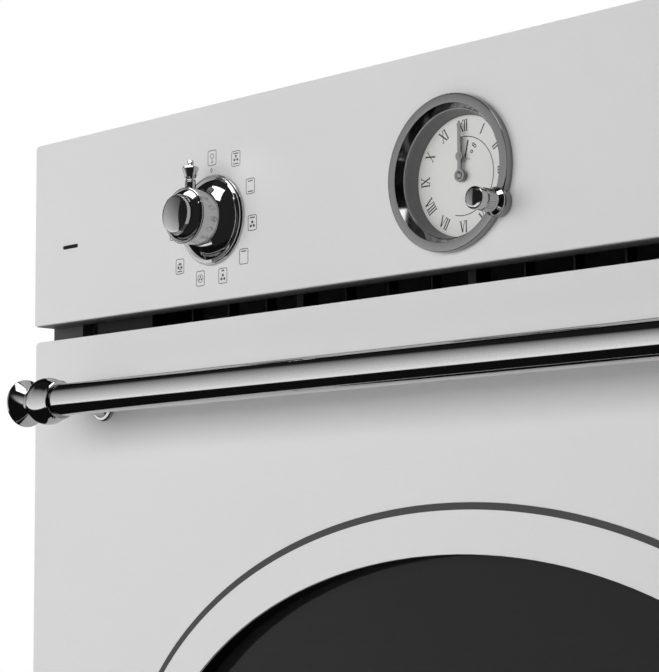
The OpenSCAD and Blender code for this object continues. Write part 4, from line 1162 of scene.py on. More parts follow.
@dataclass
class Clock(Assembly):
    """The clock: ring, dial with its print, hands and setting knob. Depths are from the panel's face.

    Attributes:
        ring_r: outer radius of the ring.
        ring_in: inner radius of its front face.
        ring_out: height of the ring.
        dial_in: depth of the dial.
        dial_r: radius of the dial that shows.
        dial_t: thickness of the dial.
        numeral_r: radius of the middle of the numerals.
        numeral_h: height of the numerals.
        stem: width of a numeral's upright strokes.
        thick: width of its thick slanted strokes.
        thin: width of its thin ones.
        serif: width of its serifs.
        arc_r: radius of the printed arc.
        setter_r: distance of the setting knob from the axis.
        setter_angle: how far below the level it sits, in degrees.
        lug_r: radius of the lug that carries it.
        rib_r: radius that the knob's ribs stand on.
        rib_count: the number of ribs.
    """

    ring_r: float = 34.8
    ring_in: float = 30.6
    ring_out: float = 4.0
    dial_in: float = 7.65
    dial_r: float = 26.8
    dial_t: float = 0.12
    numeral_r: float = 22.4
    numeral_h: float = 5.0
    stem: float = 0.6
    thick: float = 0.66
    thin: float = 0.34
    serif: float = 0.24
    arc_r: float = 17.5
    setter_r: float = 32.3
    setter_angle: float = 30.5
    lug_r: float = 6.5
    rib_r: float = 4.7
    rib_count: int = 34

    @classmethod
    def setter_place(cls) -> Point:
        """Returns the place of the setting knob, in X and Z."""
        angle = math.radians(cls.setter_angle)
        return (cls.setter_r * math.cos(angle), CLOCK_Z - cls.setter_r * math.sin(angle))

    def build_ring(self) -> None:
        """Builds the funnel down to the dial and the stepped ring with its lug."""
        ring, dial, floor = self.ring_in, self.dial_r, -self.dial_in
        funnel = rounded([
            (ring - 2.0, -0.9), (ring - 2.35, -0.15, 0.1), (dial + 0.4, floor + 1.4, 0.2),
            (dial + 0.1, floor + 1.0, 0.1), (dial, floor + 0.05), (dial + 1.3, floor + 0.02), (ring - 1.6, -1.0),
        ], 4)
        spots = [(Facing.FRONT, (0, FACE_Y, CLOCK_Z))]
        self.fit(lathe("clock_funnel", funnel, spots, 160, True), "carcass", "grey_plastic", "clock_bezel")
        neck_end = -11
        outline = rounded([
            (self.ring_r, -0.02), (self.ring_r, self.ring_out, 0.55), (ring, self.ring_out, 0.25),
            (ring - 1.9, 0.0, 0.2), (ring - 2.3, -0.1, 0.15), (ring - 2.3, -0.9), (ring - 1.2, -0.9),
            (ring - 1.2, neck_end), (ring - 0.2, neck_end), (ring - 0.2, -0.02),
        ], 4)
        self.fit(lathe("clock_ring", outline, spots, 160, True), "carcass", "polished_steel", "clock_bezel")
        self.build_lug()

    def build_lug(self) -> None:
        """Builds the lug beside the ring, which carries the setting knob."""
        x, z = self.setter_place()
        centre_angle = math.degrees(math.atan2(z - CLOCK_Z, x))
        swing = self.meeting_angle(self.lug_r, self.setter_r, self.ring_r)
        outer = arc((x, z), self.lug_r, centre_angle - swing, centre_angle + swing, 28)
        relief = Relief(FACE_Y, self.ring_out)
        overlap = 0.5
        half = self.meeting_angle(self.ring_r, self.setter_r, self.lug_r, inner=True)
        inner = arc((0, CLOCK_Z), self.ring_r - overlap, centre_angle + half, centre_angle - half, 28)
        relief.polygon([*outer, *inner[1:-1]])
        lug = relief.close("clock_lug")
        edge = lug.modifiers.new("round", "BEVEL")
        edge.width = 0.35 * MM
        edge.segments = 3
        self.fit(lug, "carcass", "polished_steel", "clock_bezel")

    @staticmethod
    def meeting_angle(own: float, apart: float, other: float, inner: bool = False) -> float:
        """Returns how far round a circle another one meets it.

        Args:
            own: the radius of the circle.
            apart: the distance between the centres.
            other: the radius of the other circle.
            inner: whether the angle is measured on the side of the other circle.

        Returns:
            The angle in degrees from the line that leads away from the other centre, or towards it.
        """
        cosine = (own ** 2 + apart ** 2 - other ** 2) / (2 * own * apart)
        angle = math.degrees(math.acos(max(-1.0, min(1.0, cosine))))
        return angle if inner else 180 - angle

    def numeral(self, relief: Relief, text: str, hour: int) -> None:
        """Adds a numeral, with its top outwards in the upper part and inwards in the lower part.

        Args:
            relief: the print.
            text: the strokes of the numeral.
            hour: the hour, for its angle.
        """
        angle = math.radians(90 - 30 * hour)
        out = Vector((math.cos(angle), math.sin(angle)))
        centre = Vector((0, CLOCK_Z)) + out * self.numeral_r
        if 3 < hour < 9:
            out = -out
        right = Vector((out.y, -out.x))
        half, serif_half = self.numeral_h / 2, 0.55
        widths = {Stroke.I: 1.25, Stroke.V: 3.0, Stroke.X: 3.1}
        glyphs = [Stroke(letter) for letter in text]
        total = sum(widths[g] for g in glyphs)
        at = -total / 2

        def put(x: float, y: float) -> Point:
            """Places a point of the numeral on the dial."""
            spot = centre + right * x + out * y
            return (spot.x, spot.y)

        for glyph in glyphs:
            wide = widths[glyph]
            middle = at + wide / 2
            reach = wide / 2 - 0.35
            if glyph is Stroke.I:
                relief.bar(put(middle, -half), put(middle, half), self.stem)
                serifs = [(middle, -half), (middle, half)]
            else:
                foot = reach if glyph is Stroke.X else 0.0
                relief.bar(put(middle - reach, half), put(middle + foot, -half), self.thick)
                relief.bar(put(middle + reach, half), put(middle - foot, -half), self.thin)
                ends = (-1, 1) if glyph is Stroke.X else (1,)
                serifs = [(middle + sx * reach, sy * half) for sx in (-1, 1) for sy in ends]
            if text != "I":
                for x, y in serifs:
                    relief.bar(put(x - serif_half, y), put(x + serif_half, y), self.serif)
            at += wide

    def build_dial(self) -> None:
        """Builds the dial and prints the numerals, the arc, and a short dark bar with a thin line and three small
        rings on it.
        """
        bore_r, rim_r, face, rear = 1.9, self.dial_r + 0.8, -self.dial_in, -self.dial_in - self.dial_t
        edge = rounded([(bore_r, face), (rim_r, face, 0.04), (rim_r, rear), (bore_r, rear)], 3)
        plate = lathe("dial_plate", edge, [(Facing.FRONT, (0, FACE_Y, CLOCK_Z))], 128, True, 32)
        self.fit(plate, "carcass", "dial_paint", "clock_dial")
        relief = Relief(FACE_Y + self.dial_in, PRINT_H)
        numerals = ["I", "II", "III", "IV", "V", "VI", "VII", "VIII", "IX", "X", "XI", "XII"]
        for hour, text in enumerate(numerals, 1):
            self.numeral(relief, text, hour)
        relief.ring((0.0, CLOCK_Z), self.arc_r, 0.38, 96, -106)
        # A short dark bar with a thin line from its foot, and three small rings, printed right of the hands' place
        # at twelve.
        foot = (1.2, CLOCK_Z + 8.2)
        relief.bar(foot, (2.9, CLOCK_Z + 15.6), 0.8)
        relief.bar(foot, (4.0, CLOCK_Z + 6.8), 0.2)
        for x, z in ((6.0, 13.2), (6.9, 12.4), (5.0, 10.2)):
            relief.ring((x, CLOCK_Z + z), 0.6, 0.4)
        self.fit(relief.close("dial_print"), "carcass", "dark_line")

    def hand(self, name: str, length: float, boss_at: float, depth: float, body: str, node: str) -> None:
        """Builds one hand with its round boss.

        Args:
            name: the name of the piece.
            length: its length from the axis.
            boss_at: the distance of the boss from the axis.
            depth: the distance of its front face behind the panel.
            body: its body.
            node: the node that it replaces.
        """
        hub_r, boss_r, half_w, tip_r, thickness = 2.8, 2.0, 0.9, 1.15, 0.5
        profile: list[Point] = []
        steps = 160
        for k in range(steps + 1):
            z = -hub_r + (length + tip_r + hub_r) * k / steps
            reach = half_w if 0 < z < length else 0.0
            for middle, radius in ((0.0, hub_r), (boss_at, boss_r), (length, tip_r)):
                inside = radius ** 2 - (z - middle) ** 2
                reach = max(reach, math.sqrt(inside) if inside > 0 else 0.0)
            profile.append((reach, z))
        right = [(r, CLOCK_Z + z) for r, z in profile[1:-1]]
        left = [(-r, CLOCK_Z + z) for r, z in profile[1:-1]]
        points = [(0.0, CLOCK_Z + profile[0][1]), *right, (0.0, CLOCK_Z + profile[-1][1]), *left[::-1]]
        relief = Relief(FACE_Y + depth + thickness, thickness)
        relief.polygon(points)
        cap = rounded([(0, 0), (1.7, 0), (1.7, 0.3, 0.2), (0.9, 0.75, 0.3), (0, 0.8)])
        stud = rounded([(0, 0), (1.0, 0), (1.0, 0.3, 0.2), (0, 0.35)])
        turned(relief.bm, cap, Facing.FRONT, (0, FACE_Y + depth, CLOCK_Z), 32)
        turned(relief.bm, stud, Facing.FRONT, (0, FACE_Y + depth, CLOCK_Z + boss_at), 24)
        piece = relief.close(name)
        edge = piece.modifiers.new("round", "BEVEL")
        edge.width = 0.14 * MM
        edge.segments = 2
        self.fit(piece, body, "hand_metal", node)

    def build_setter(self) -> None:
        """Builds the setting knob: turned body, with its ribs made by Geometry Nodes."""
        x, z = self.setter_place()
        place = (x, FACE_Y - self.ring_out, z)
        outline = rounded([
            (0, 0.3), (6.2, 0.3), (6.2, 0.9, 0.25), (5.9, 1.3, 0.3), (self.rib_r, 2.9, 1.2), (4.55, 3.7, 0.2),
            (self.rib_r, 3.9, 0.1), (self.rib_r, 8.7, 0.15), (4.3, 8.9, 0.1), (4.3, 9.5, 0.1), (4.95, 9.8, 0.3),
            (4.95, 13.6, 0.9), (3.6, 14.2, 0.6), (0, 14.35),
        ], 5)
        core = lathe("setting_knob_core", outline, [(Facing.FRONT, place)], 96)
        ribs = self.ribs(place, 3.8, 8.6)
        bm = bmesh.new()
        bm.from_mesh(core.data)
        bm.from_mesh(ribs.data)
        for spare in (core, ribs):
            bpy.data.objects.remove(spare)
        self.fit(from_bmesh(bm, "setting_knob_ribbed", 24), "setter", "chrome", "clock_setting_knob")

    def ribs(self, place: Colour, low: float, high: float) -> bpy.types.Object:
        """Sets ribs round the setting knob.

        Args:
            place: where the knob's axis starts.
            low: the start of the ribs along the axis.
            high: the end of the ribs.

        Returns:
            The ribs.
        """
        process = Process("ribs_round_axis", {
            "Material": "NodeSocketMaterial", "Count": "NodeSocketInt", "Radius": "NodeSocketFloat",
            "Length": "NodeSocketFloat", "Rib": "NodeSocketFloat", "Place": "NodeSocketVector",
        })
        ring = process.add("GeometryNodeMeshCircle", {}, {
            "Vertices": process.given("Count"), "Radius": process.given("Radius")})
        rib = process.add("GeometryNodeMeshCylinder", {"fill_type": "NGON"}, {
            "Vertices": 6, "Radius": process.given("Rib"), "Depth": process.given("Length")}, "Mesh")
        set_round = process.add("GeometryNodeInstanceOnPoints", {}, {"Points": ring, "Instance": rib})
        turned_front = process.add("GeometryNodeTransform", {}, {
            "Geometry": process.add("GeometryNodeRealizeInstances", {}, {"Geometry": set_round}),
            "Translation": process.given("Place"), "Rotation": (math.pi / 2, 0, 0)})
        process.end(turned_front)
        target = bpy.data.objects.new("ribs", bpy.data.meshes.new("ribs"))
        bpy.context.scene.collection.objects.link(target)
        middle = (place[0] * MM, (place[1] - (low + high) / 2) * MM, place[2] * MM)
        rib_size = 0.34
        process.apply(target, {
            "Material": self.palette.material("chrome"), "Count": self.rib_count, "Radius": self.rib_r * MM,
            "Length": (high - low) * MM, "Rib": rib_size * MM, "Place": middle,
        })
        return target

    def build(self) -> None:
        """Builds all the pieces of the clock."""
        self.build_ring()
        self.build_dial()
        self.hand("minute_hand_long", 22.5, 8.6, 4.7, "minute", "minute_hand")
        self.hand("hour_hand_short", 16.0, 7.4, 5.7, "hour", "hour_hand")
        self.build_setter()


class Symbol(Enum):
    """The heating symbols printed round the left knob."""

    DOTS = "a plain sign for the full programme"
    FAN_LINES = "fan with top and bottom lines"
    LINES = "top and bottom lines"
    GRILL_FAN = "grill with a fan"
    GRILL = "grill"
    SMALL_GRILL_FAN = "small grill with a fan"
    RING_FAN = "ring with a fan"
    FAN_LOW = "fan in a ring with a bottom line"
    LAMP = "lamp"


@dataclass
class Panel(Assembly):
    """The control panel with its print, and the vents under it.

    Attributes:
        line: width of the line round a symbol.
        box: width and height of a symbol's box.
        bold: width of the bars in a symbol.
        fold_r: radius of the sheet's lower fold in the source.
        small_r: the radius that it is drawn in to.
        width: width of the front.
        opening_half: half of the vents' opening in the source.
        opening_more: how far each end of it is moved outwards.
        scale_r: radius of the temperatures round the right knob.
        number_h: size of their print.
    """

    line: float = 0.34
    box: Point = (5.9, 7.3)
    bold: float = 0.5
    fold_r: float = 3.0
    small_r: float = 0.8
    width: float = 597.0
    opening_half: float = 197.0
    opening_more: float = 20.3
    scale_r: float = 32.5
    number_h: float = 4.6

    def fan(self, relief: Relief, centre: Point, size: float) -> None:
        """Adds a three-bladed fan.

        Args:
            relief: the print.
            centre: the middle of the fan.
            size: the distance of its blades from there.
        """
        for k in range(3):
            angle = math.radians(90 + 120 * k)
            spot = (centre[0] + size * math.cos(angle), centre[1] + size * math.sin(angle))
            relief.disc(spot, size * 0.6, 10)

    def grill(self, relief: Relief, centre: Point, half: float) -> None:
        """Adds the zigzag of a grill.

        Args:
            relief: the print.
            centre: the middle of the zigzag.
            half: half of its width.
        """
        count, swing, width = 6, 0.3, 0.42
        xs = [centre[0] - half + 2 * half * k / count for k in range(count + 1)]
        for k in range(count):
            rise = swing if k % 2 else -swing
            relief.bar((xs[k], centre[1] + rise), (xs[k + 1], centre[1] - rise), width)

    def symbol(self, relief: Relief, kind: Symbol, centre: Point) -> None:
        """Adds one boxed symbol.

        Args:
            relief: the print.
            kind: the symbol.
            centre: the middle of its box.
        """
        x, z = centre
        relief.frame(centre, self.box, 0.9, self.line)
        top, low, half = z + 2.5, z - 2.5, 1.75
        if kind in (Symbol.FAN_LINES, Symbol.LINES):
            relief.bar((x - half, top), (x + half, top), self.bold)
        if kind in (Symbol.FAN_LINES, Symbol.LINES, Symbol.FAN_LOW):
            relief.bar((x - half, low), (x + half, low), self.bold)
        if kind in (Symbol.GRILL_FAN, Symbol.GRILL):
            self.grill(relief, (x, top), half)
        if kind is Symbol.SMALL_GRILL_FAN:
            self.grill(relief, (x, top), 0.9)
        if kind in (Symbol.FAN_LINES, Symbol.FAN_LOW):
            self.fan(relief, (x, z), 1.15)
        if kind in (Symbol.GRILL_FAN, Symbol.SMALL_GRILL_FAN):
            self.fan(relief, (x, z - 0.9), 1.2)
        if kind is Symbol.RING_FAN:
            relief.ring((x, z), 1.9, 0.28)
            self.fan(relief, (x, z), 0.85)
        if kind is Symbol.FAN_LOW:
            relief.ring((x, z), 1.6, 0.22)
        if kind is Symbol.DOTS:
            relief.ring((x, z + 0.9), 1.15, 0.3)
            relief.bar((x, z - 0.3), (x, z - 2.2), 0.34)
            relief.bar((x - 1.0, z - 2.2), (x + 1.0, z - 2.2), 0.3)
        if kind is Symbol.LAMP:
            relief.ring((x, z), 1.2, 0.28)
            relief.bar((x - 0.85, z - 0.85), (x + 0.85, z + 0.85), 0.22)
            relief.bar((x - 0.85, z + 0.85), (x + 0.85, z - 0.85), 0.22)

    def sharpen_fold(self, bm: bmesh.types.BMesh) -> None:
        """Draws the lower fold of the sheet in to a smaller radius.

        Args:
            bm: the copy of the panel's mesh.
        """
        slack = 0.2
        for vertex in bm.verts:
            y, z = vertex.co.y / MM - FACE_Y, vertex.co.z / MM - PANEL_BOTTOM
            reach = math.hypot(self.fold_r - y, self.fold_r - z)
            if y < self.fold_r and z < self.fold_r and reach > self.fold_r - slack:
                shrink = self.small_r / reach
                vertex.co.y = (FACE_Y + self.small_r - (self.fold_r - y) * shrink) * MM
                vertex.co.z = (PANEL_BOTTOM + self.small_r - (self.fold_r - z) * shrink) * MM

    def widen_opening(self, bm: bmesh.types.BMesh) -> None:
        """Moves both ends of the grille's opening outwards, to the next place of a vane.

        Args:
            bm: the copy of the grille's mesh.
        """
        slack = 1.5
        for vertex in bm.verts:
            x = vertex.co.x / MM
            if abs(abs(x) - self.opening_half) < slack:
                vertex.co.x += math.copysign(self.opening_more, x) * MM

    def underside_shade_strip(self) -> None:
        """Adds a thin grey strip with rounded edges flush under the panel's underside: painted shade, which makes
        the underside darker than its white enamel.
        """
        half_w, low, high = self.width / 2 - 0.8, PANEL_BOTTOM - 0.3, PANEL_BOTTOM - 0.02
        front, back = FACE_Y + 0.7, VENT_Y - 0.4
        section = rounded([(back, high), (front, high), (front, low, 0.12), (back, low, 0.12), (back, high)], 3)[:-1]
        bm = bmesh.new()
        rows = [[bm.verts.new((x * MM, y * MM, z * MM)) for y, z in section]
                for x in (-half_w, -half_w / 3, half_w / 3, half_w)]
        for first, second in zip(rows, rows[1:]):
            for k in range(len(section)):
                after = (k + 1) % len(section)
                bm.faces.new((first[k], first[after], second[after], second[k]))
        for row in (rows[0], rows[-1]):
            bm.faces.new(row)
        bmesh.ops.recalc_face_normals(bm, faces=bm.faces)
        # The grey finish of this strip is painted shade under the panel.
        self.fit(from_bmesh(bm, "panel_air_lip"), "carcass", "grey_plastic")

    def build(self) -> None:
        """Builds the softened panel and its print."""
        self.softened("control_panel", "panel_shell", 0.3, "carcass", change=self.sharpen_fold)
        self.softened("vent_grille", "vent_grille_vanes", 0.12, "carcass", change=self.widen_opening)
        self.underside_shade_strip()
        relief = Relief(FACE_Y, PRINT_H)
        places = {
            Symbol.DOTS: (-1.2, 31.0), Symbol.FAN_LINES: (16.1, 28.2), Symbol.LINES: (26.4, 13.3),
            Symbol.GRILL_FAN: (27.8, -4.6), Symbol.GRILL: (21.8, -20.2), Symbol.SMALL_GRILL_FAN: (6.8, -28.0),
            Symbol.RING_FAN: (-9.6, -27.7), Symbol.FAN_LOW: (-24.9, -20.1), Symbol.LAMP: (-29.5, -2.6),
        }
        for kind, (x, z) in places.items():
            self.symbol(relief, kind, (x - KNOB_X, z + KNOB_Z))
        for side in (-1, 1):
            self.mark(relief, (side * KNOB_X - 1.6, KNOB_Z + 24.9))
        self.scale(relief)
        self.fit(relief.close("panel_print"), "carcass", "dark_line")
        self.numbers()

    @staticmethod
    def mark(relief: Relief, centre: Point) -> None:
        """Adds the small diamond that the pointer is set against.

        Args:
            relief: the print.
            centre: the middle of the diamond.
        """
        x, z = centre
        diamond = [(x, z + 1.3), (x - 0.9, z), (x, z - 1.3), (x + 0.9, z)]
        inner = [(x, z + 0.8), (x - 0.5, z), (x, z - 0.8), (x + 0.5, z)]
        relief.band(diamond, inner)

    @staticmethod
    def scale(relief: Relief) -> None:
        """Adds the strokes of the right knob's scale, every second one longer.

        Args:
            relief: the print.
        """
        near, short, long, first, step = 25.2, 27.0, 28.2, 60, 27
        for k in range(11):
            angle = math.radians(first - step * k)
            spots = [(KNOB_X + r * math.cos(angle), KNOB_Z + r * math.sin(angle))
                     for r in (near, short if k % 2 else long)]
            relief.bar(spots[0], spots[1], 0.35)

    def numbers(self) -> None:
        """Prints plain temperatures round the right knob."""
        first, step, half_h = 60, 54, PRINT_H / 2
        bm = bmesh.new()
        for k, value in enumerate((50, 100, 150, 200, 250)):
            angle = math.radians(first - step * k)
            curve = bpy.data.curves.new("number", "FONT")
            curve.body = str(value)
            curve.size = self.number_h * MM
            curve.align_x = "CENTER"
            curve.align_y = "CENTER"
            curve.extrude = half_h * MM
            text = bpy.data.objects.new("number", curve)
            bpy.context.scene.collection.objects.link(text)
            mesh = bpy.data.meshes.new_from_object(text.evaluated_get(bpy.context.evaluated_depsgraph_get()))
            x, z = KNOB_X + self.scale_r * math.cos(angle), KNOB_Z + self.scale_r * math.sin(angle)
            spot = Vector((x, FACE_Y - half_h, z)) * MM
            mesh.transform(Matrix.Translation(spot) @ Matrix.Rotation(math.pi / 2, 4, "X"))
            bm.from_mesh(mesh)
            bpy.data.objects.remove(text)
            bpy.data.meshes.remove(mesh)
        self.fit(from_bmesh(bm, "temperature_print"), "carcass", "dark_line")


@dataclass
class Door(Assembly):
    """The outer sheet of the door with its dark line.

    Attributes:
        middle_z: the middle of the oval, in Z.
        line_out: half the width and height of the line's outer edge.
        line_w: width of the line.
        line_h: how far it stands proud of the sheet.
    """

    middle_z: float = 245.05
    line_out: Point = (223.1, 147.3)
    line_w: float = 3.1
    line_h: float = 0.06

    def oval(self, less: float) -> list[Point]:
        """Returns the oval of the line's outer edge, smaller all round by a distance.

        Args:
            less: the distance.

        Returns:
            The points of the oval.
        """
        half_w, half_h = (size - less for size in self.line_out)
        circle = arc((0.0, 0.0), 1.0, 0, 360, 288)[:-1]
        return [(half_w * x, self.middle_z + half_h * z) for x, z in circle]

    def build(self) -> None:
        """Builds the softened sheet and the line, which stands a little proud of it."""
        self.softened("door_skin", "door_sheet", 0.3, "door")
        line = Relief(DOOR_Y, self.line_h)
        line.band(self.oval(0.0), self.oval(self.line_w))
        self.fit(line.close("door_line"), "door", "dark_line", "ring_inlay")


@dataclass(frozen=True)
class Flag:
    """A black flag in front of a knob, clear towards its lower left but for a dark band.

    Attributes:
        edge: where its opaque part starts, in X.
        middle: its middle, in Z.
        out: its distance in front of the panel.
        size: width and height of the opaque part.
        fade: width of the part that fades out.
        level: brightness of the cloth.
        cover: how much the fading part hides at most.
    """

    edge: float
    middle: float
    out: float
    size: Point
    fade: float
    level: float = 0.025
    cover: float = 0.8

    def build(self, name: str) -> bpy.types.Object:
        """Builds the flag.

        Args:
            name: the name that tells it from the others.

        Returns:
            The flag, in the scene.
        """
        width, height = self.size
        low, high = self.middle - height / 2, self.middle + height / 2
        bm = bmesh.new()
        corners = [(self.edge - self.fade, low), (self.edge + width, low), (self.edge + width, high),
                   (self.edge - self.fade, high)]
        bm.faces.new([bm.verts.new((x * MM, (FACE_Y - self.out) * MM, z * MM)) for x, z in corners])
        flag = from_bmesh(bm, f"flag_{name}")
        surface = Surface(f"flag_cloth_{name}")
        x, _, z = surface.split(surface.place)
        across, up = (x - self.edge * MM) / (self.fade * MM), (z - self.middle * MM) / (self.fade * MM)
        low_band = up.smooth(-0.6, -0.7) * up.smooth(-1.15, -1.08)
        fade = (across + up * 0.75).smooth(-1.15, 0.6).math("MAXIMUM", low_band) * self.cover
        solid = across.smooth(-0.03, 0.03)
        clear = surface.add("ShaderNodeBsdfTransparent", {}, {})
        mixed = surface.mix(fade.math("MAXIMUM", solid), clear, surface.glow(self.level))
        flag.data.materials.append(surface.end(mixed))
        return flag


@dataclass
class Studio:
    """Camera, lamps, floor and what the metal reflects.

    Attributes:
        place: the camera, in metres.
        turn: its turn to the left of the depth axis, in degrees.
        pitch: its tilt upwards.
        roll: its roll.
        lens: its focal length in millimetres.
        shift: its vertical shift.
        floor_z: height of the floor.
        plinth: width and depth of the plinth.
        plinth_y: how far behind the origin its middle is.
        dome_r: radius of the dome that reflections see.
        dome_at: its centre.
        fill: strength of the world's diffuse light.
    """

    place: Colour = (0.60600, -0.95304, 0.35797)
    turn: float = 45.118
    pitch: float = 4.961
    roll: float = -0.169
    lens: float = 113.16
    shift: float = 0.095
    floor_z: float = -0.12
    plinth: Point = (0.545, 0.5)
    plinth_y: float = 0.018
    dome_r: float = 6.0
    dome_at: Colour = (-0.1, -0.3, 0.5)
    fill: float = 0.04

    def camera(self) -> None:
        """Sets the camera at the photograph's place."""
        turn, pitch, roll = (math.radians(v) for v in (self.turn, self.pitch, self.roll))
        ahead = Vector((-math.sin(turn), math.cos(turn), 0)) * math.cos(pitch) + Vector((0, 0, math.sin(pitch)))
        level = Vector((math.cos(turn), math.sin(turn), 0))
        above = level.cross(ahead)
        right = level * math.cos(roll) + above * math.sin(roll)
        up = above * math.cos(roll) - level * math.sin(roll)
        data = bpy.data.cameras.new("camera")
        data.lens = self.lens
        data.sensor_width = 36
        data.shift_y = self.shift
        data.clip_start = 0.05
        data.clip_end = 50
        camera = bpy.data.objects.new("camera", data)
        camera.matrix_world = Matrix.Translation(self.place) @ Matrix((right, up, -ahead)).transposed().to_4x4()
        bpy.context.scene.collection.objects.link(camera)
        bpy.context.scene.camera = camera

    def world(self) -> None:
        """Makes the world white for what sees it, and a soft fill for diffuse light."""
        world = bpy.data.worlds.new("studio")
        bpy.context.scene.world = world
        world.use_nodes = True
        graph = Graph(world.node_tree)
        world.node_tree.nodes.clear()
        camera, glossy, through = (graph.ray(f"Is {kind} Ray") for kind in ("Camera", "Glossy", "Transmission"))
        seen = camera.math("MAXIMUM", glossy).math("MAXIMUM", through)
        strength = seen * (1 - self.fill) + self.fill
        shader = graph.add("ShaderNodeBackground", {}, {"Color": (1.0, 1.0, 1.0), "Strength": strength})
        output = graph.node("ShaderNodeOutputWorld", {}, {})
        graph.tree.links.new(shader.socket, output.inputs["Surface"])

    def floor(self) -> None:
        """Lays the pale floor, with the plinth that carries the oven."""
        bm = bmesh.new()
        half = 6.0
        corners = ((-half, -half), (half, -half), (half, half), (-half, half))
        bm.faces.new([bm.verts.new((x, y, self.floor_z)) for x, y in corners])
        floor = from_bmesh(bm, "floor")
        bm = bmesh.new()
        bmesh.ops.create_cube(bm, size=1.0)
        bmesh.ops.scale(bm, vec=(*self.plinth, -self.floor_z), verts=bm.verts)
        bmesh.ops.translate(bm, vec=(0, self.plinth_y, self.floor_z / 2), verts=bm.verts)
        bmesh.ops.recalc_face_normals(bm, faces=bm.faces)
        bmesh.ops.bevel(bm, geom=list(bm.edges), offset=0.003, segments=2, profile=0.5, affect="EDGES")
        plinth = from_bmesh(bm, "plinth")
        material = self.floor_paint()
        for piece in (floor, plinth):
            piece.data.materials.append(material)
            piece.visible_glossy = False

    @staticmethod
    def floor_paint() -> bpy.types.Material:
        """Makes the matt pale paint, which whitens away from the oven for what the camera sees.

        Returns:
            The material.
        """
        surface = Surface("pale_floor")
        pale, near, far = (0.72, 0.72, 0.72), 0.5, 1.9
        tone = surface.shade(pale, surface.noise(3, 3), 0.01)
        matt = surface.add("ShaderNodeBsdfPrincipled", {}, {"Base Color": tone, "Roughness": 0.7})
        away = surface.add("ShaderNodeVectorMath", {"operation": "LENGTH"}, {0: surface.place}, "Value")
        veil = surface.ray("Is Camera Ray") * (away.smooth(near, far) * 0.5 + 0.5)
        return surface.end(surface.mix(veil, matt, surface.glow(1.0)))

    def reflections(self) -> None:
        """Hangs the dark cloth with its soft card round the oven, which only reflections see."""
        bm = bmesh.new()
        bmesh.ops.create_uvsphere(bm, u_segments=96, v_segments=48, radius=self.dome_r)
        bmesh.ops.reverse_faces(bm, faces=bm.faces)
        bmesh.ops.translate(bm, vec=self.dome_at, verts=bm.verts)
        dome = from_bmesh(bm, "reflection_cloth")
        dome.data.materials.append(self.cloth())
        self.stage_reflected(dome)

    def cloth(self) -> bpy.types.Material:
        """Paints the card and a bright spot on the cloth, by the direction from the dome's centre.

        Returns:
            The material, which gives no light to what bounces off a matt surface first.
        """
        surface = Surface("soft_card_on_cloth")
        away = surface.add("ShaderNodeVectorMath", {"operation": "SUBTRACT"}, {0: surface.place, 1: self.dome_at})
        ray = surface.add("ShaderNodeVectorMath", {"operation": "NORMALIZE"}, {0: away})
        x, y, z = surface.split(ray)
        degree = 180 / math.pi
        rise = z.math("ARCTAN2", y * -1) * degree
        bearing = x.math("ARCTAN2", y * -1) * degree
        lean = x.smooth(-0.76, -0.55) * rise.smooth(0, 12) * 0.4
        height = rise * (lean + 1)
        # Brightness of the card by its height in degrees
        low, span = -40.0, 140.0
        stops = [(-39, 0.0), (-36, 0.98), (-22, 0.84), (-10, 0.73), (2, 0.65), (13, 0.56), (25, 0.47), (38, 0.36),
                 (51, 0.27), (62, 0.16), (70, 0.05), (76, 0.006)]
        ramp = surface.add("ShaderNodeValToRGB", {"stops": [((e - low) / span, (v, v, v)) for e, v in stops]},
                           {"Fac": (height - low) / span})
        gain, spot_gain, dark = 1.45, 3.6, 0.008
        right_edge = (bearing - (rise + 13) * 0.55).smooth(36, 24)
        left_edge = bearing.smooth(-104, -96)
        ahead = y.smooth(0.08, -0.02)
        card = right_edge * left_edge * ahead
        spot = x.smooth(0.19, 0.23) * x.smooth(0.66, 0.61) * rise.smooth(69, 73) * rise.smooth(104, 100)
        back = y.smooth(0.35, 0.75)
        glow = surface.add("ShaderNodeVectorMath", {"operation": "SCALE"}, {0: ramp, "Scale": card * gain})
        level = surface.add("ShaderNodeSeparateXYZ", {}, {"Vector": glow}) + spot * spot_gain + back + dark
        direct = 1 - surface.ray("Diffuse Depth").math("MINIMUM", 1.0)
        return surface.end(surface.glow(level * direct))

    @staticmethod
    def stage_reflected(piece: bpy.types.Object) -> None:
        """Stages a piece that only glossy rays see.

        Args:
            piece: the piece.
        """
        for ray in ("camera", "diffuse", "transmission", "volume_scatter", "shadow"):
            setattr(piece, f"visible_{ray}", False)

    def flags(self) -> None:
        """Sets black flags, white cards and dark roofs beside the knobs, which shape their reflections."""
        x, z = Clock.setter_place()
        edge, out, size, fade = -7.5, 40, (74, 100), 30
        flags = {
            "left": Flag(-KNOB_X + edge, KNOB_Z, out, size, fade),
            "right": Flag(KNOB_X + edge, KNOB_Z, out, size, fade),
            "clock": Flag(x - 7.0, z + 2.0, 26, (40, 15), 14),
        }
        for name, flag in flags.items():
            self.stage_reflected(flag.build(name))
        tilted, down = (0.075, 0.566, -0.818), (0, 0, -1)
        for side in (-1, 1):
            x = side * KNOB_X
            self.sheet(f"card_{side}", (x + 4.6, FACE_Y - 22.5, KNOB_Z + 28.5), 9.5, tilted, 3.6)
            self.sheet(f"roof_{side}", (x + 18, FACE_Y - 29, KNOB_Z + 62), 38, down, 0.03)

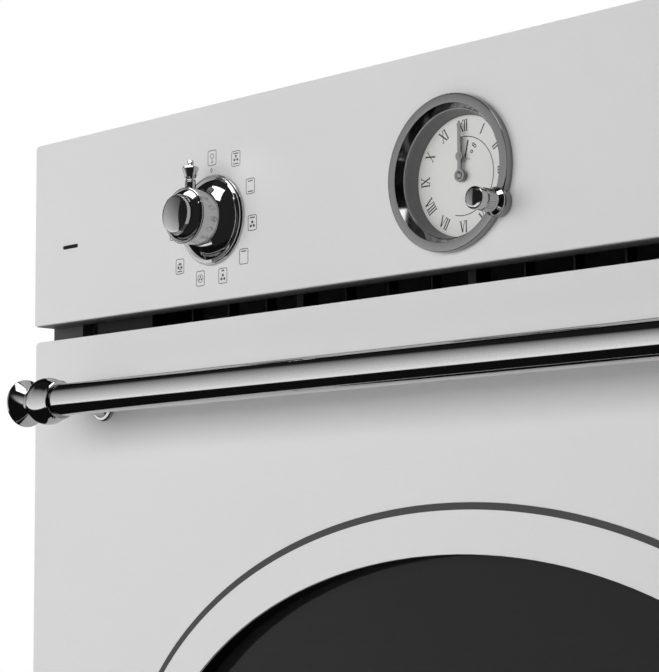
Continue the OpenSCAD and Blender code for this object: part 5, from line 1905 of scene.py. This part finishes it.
    def sheet(self, name: str, centre: Colour, half: float, facing: Colour, level: float) -> None:
        """Hangs a square sheet of even brightness that only reflections from near by see.

        Args:
            name: its name.
            centre: its middle, in millimetres.
            half: half of its side.
            facing: the direction that it faces.
            level: its brightness, where 1 is white.
        """
        bm = bmesh.new()
        bmesh.ops.create_grid(bm, x_segments=1, y_segments=1, size=half * MM)
        turn = Vector(facing).to_track_quat("Z", "Y").to_matrix().to_4x4()
        bmesh.ops.transform(bm, matrix=Matrix.Translation(Vector(centre) * MM) @ turn, verts=bm.verts)
        sheet = from_bmesh(bm, name)
        surface = Surface(f"{name}_paint")
        near, far = 0.075, 0.08
        clear = surface.add("ShaderNodeBsdfTransparent", {}, {})
        mixed = surface.mix(surface.ray("Ray Length").smooth(near, far), surface.glow(level), clear)
        sheet.data.materials.append(surface.end(mixed))
        self.stage_reflected(sheet)

    def lamp(self, name: str, place: Colour, aim: Colour, size: Point, power: float) -> None:
        """Hangs one soft lamp that reflections don't see.

        Args:
            name: its name.
            place: its place in metres.
            aim: the point that it faces.
            size: its width and height.
            power: its power in watts.
        """
        data = bpy.data.lights.new(name, "AREA")
        data.shape = "RECTANGLE"
        data.size, data.size_y = size
        data.energy = power
        lamp = bpy.data.objects.new(name, data)
        lamp.location = place
        lamp.rotation_euler = (Vector(aim) - Vector(place)).to_track_quat("-Z", "Y").to_euler()
        lamp.visible_glossy = False
        bpy.context.scene.collection.objects.link(lamp)

    def build(self) -> None:
        """Builds the whole studio."""
        self.camera()
        self.world()
        self.floor()
        self.reflections()
        self.flags()
        self.lamp("front", (-0.5, -1.67, 0.62), (-0.5, 0, 0.62), (2.5, 0.92), 21.3)
        for side, name in ((-1, "left"), (1, "right")):
            self.lamp(name, (side * 2.2, 0.7, 1.5), (0, 0.1, 0.3), (1.2, 1.2), 16)
        self.lamp("rear", (0, 2.4, 2.0), (0, 0, 0.3), (1.6, 1.6), 24)
        bpy.context.scene.view_settings.view_transform = "Standard"


def main() -> None:
    """Builds the studio and every sub-assembly."""
    logging.basicConfig(level=logging.INFO, format="%(name)s: %(message)s")
    palette = Palette(frame["record"])
    Studio().build()
    Carcass(palette).build()
    Panel(palette).build()
    Door(palette).build()
    KnobFlanges(palette).build()
    Knob(palette, -1, "selector", "selector_knob").build()
    Knob(palette, 1, "thermostat", "thermostat_knob").build()
    Clock(palette).build()
    Handle(palette).build()


if __name__ == "__main__":
    main()
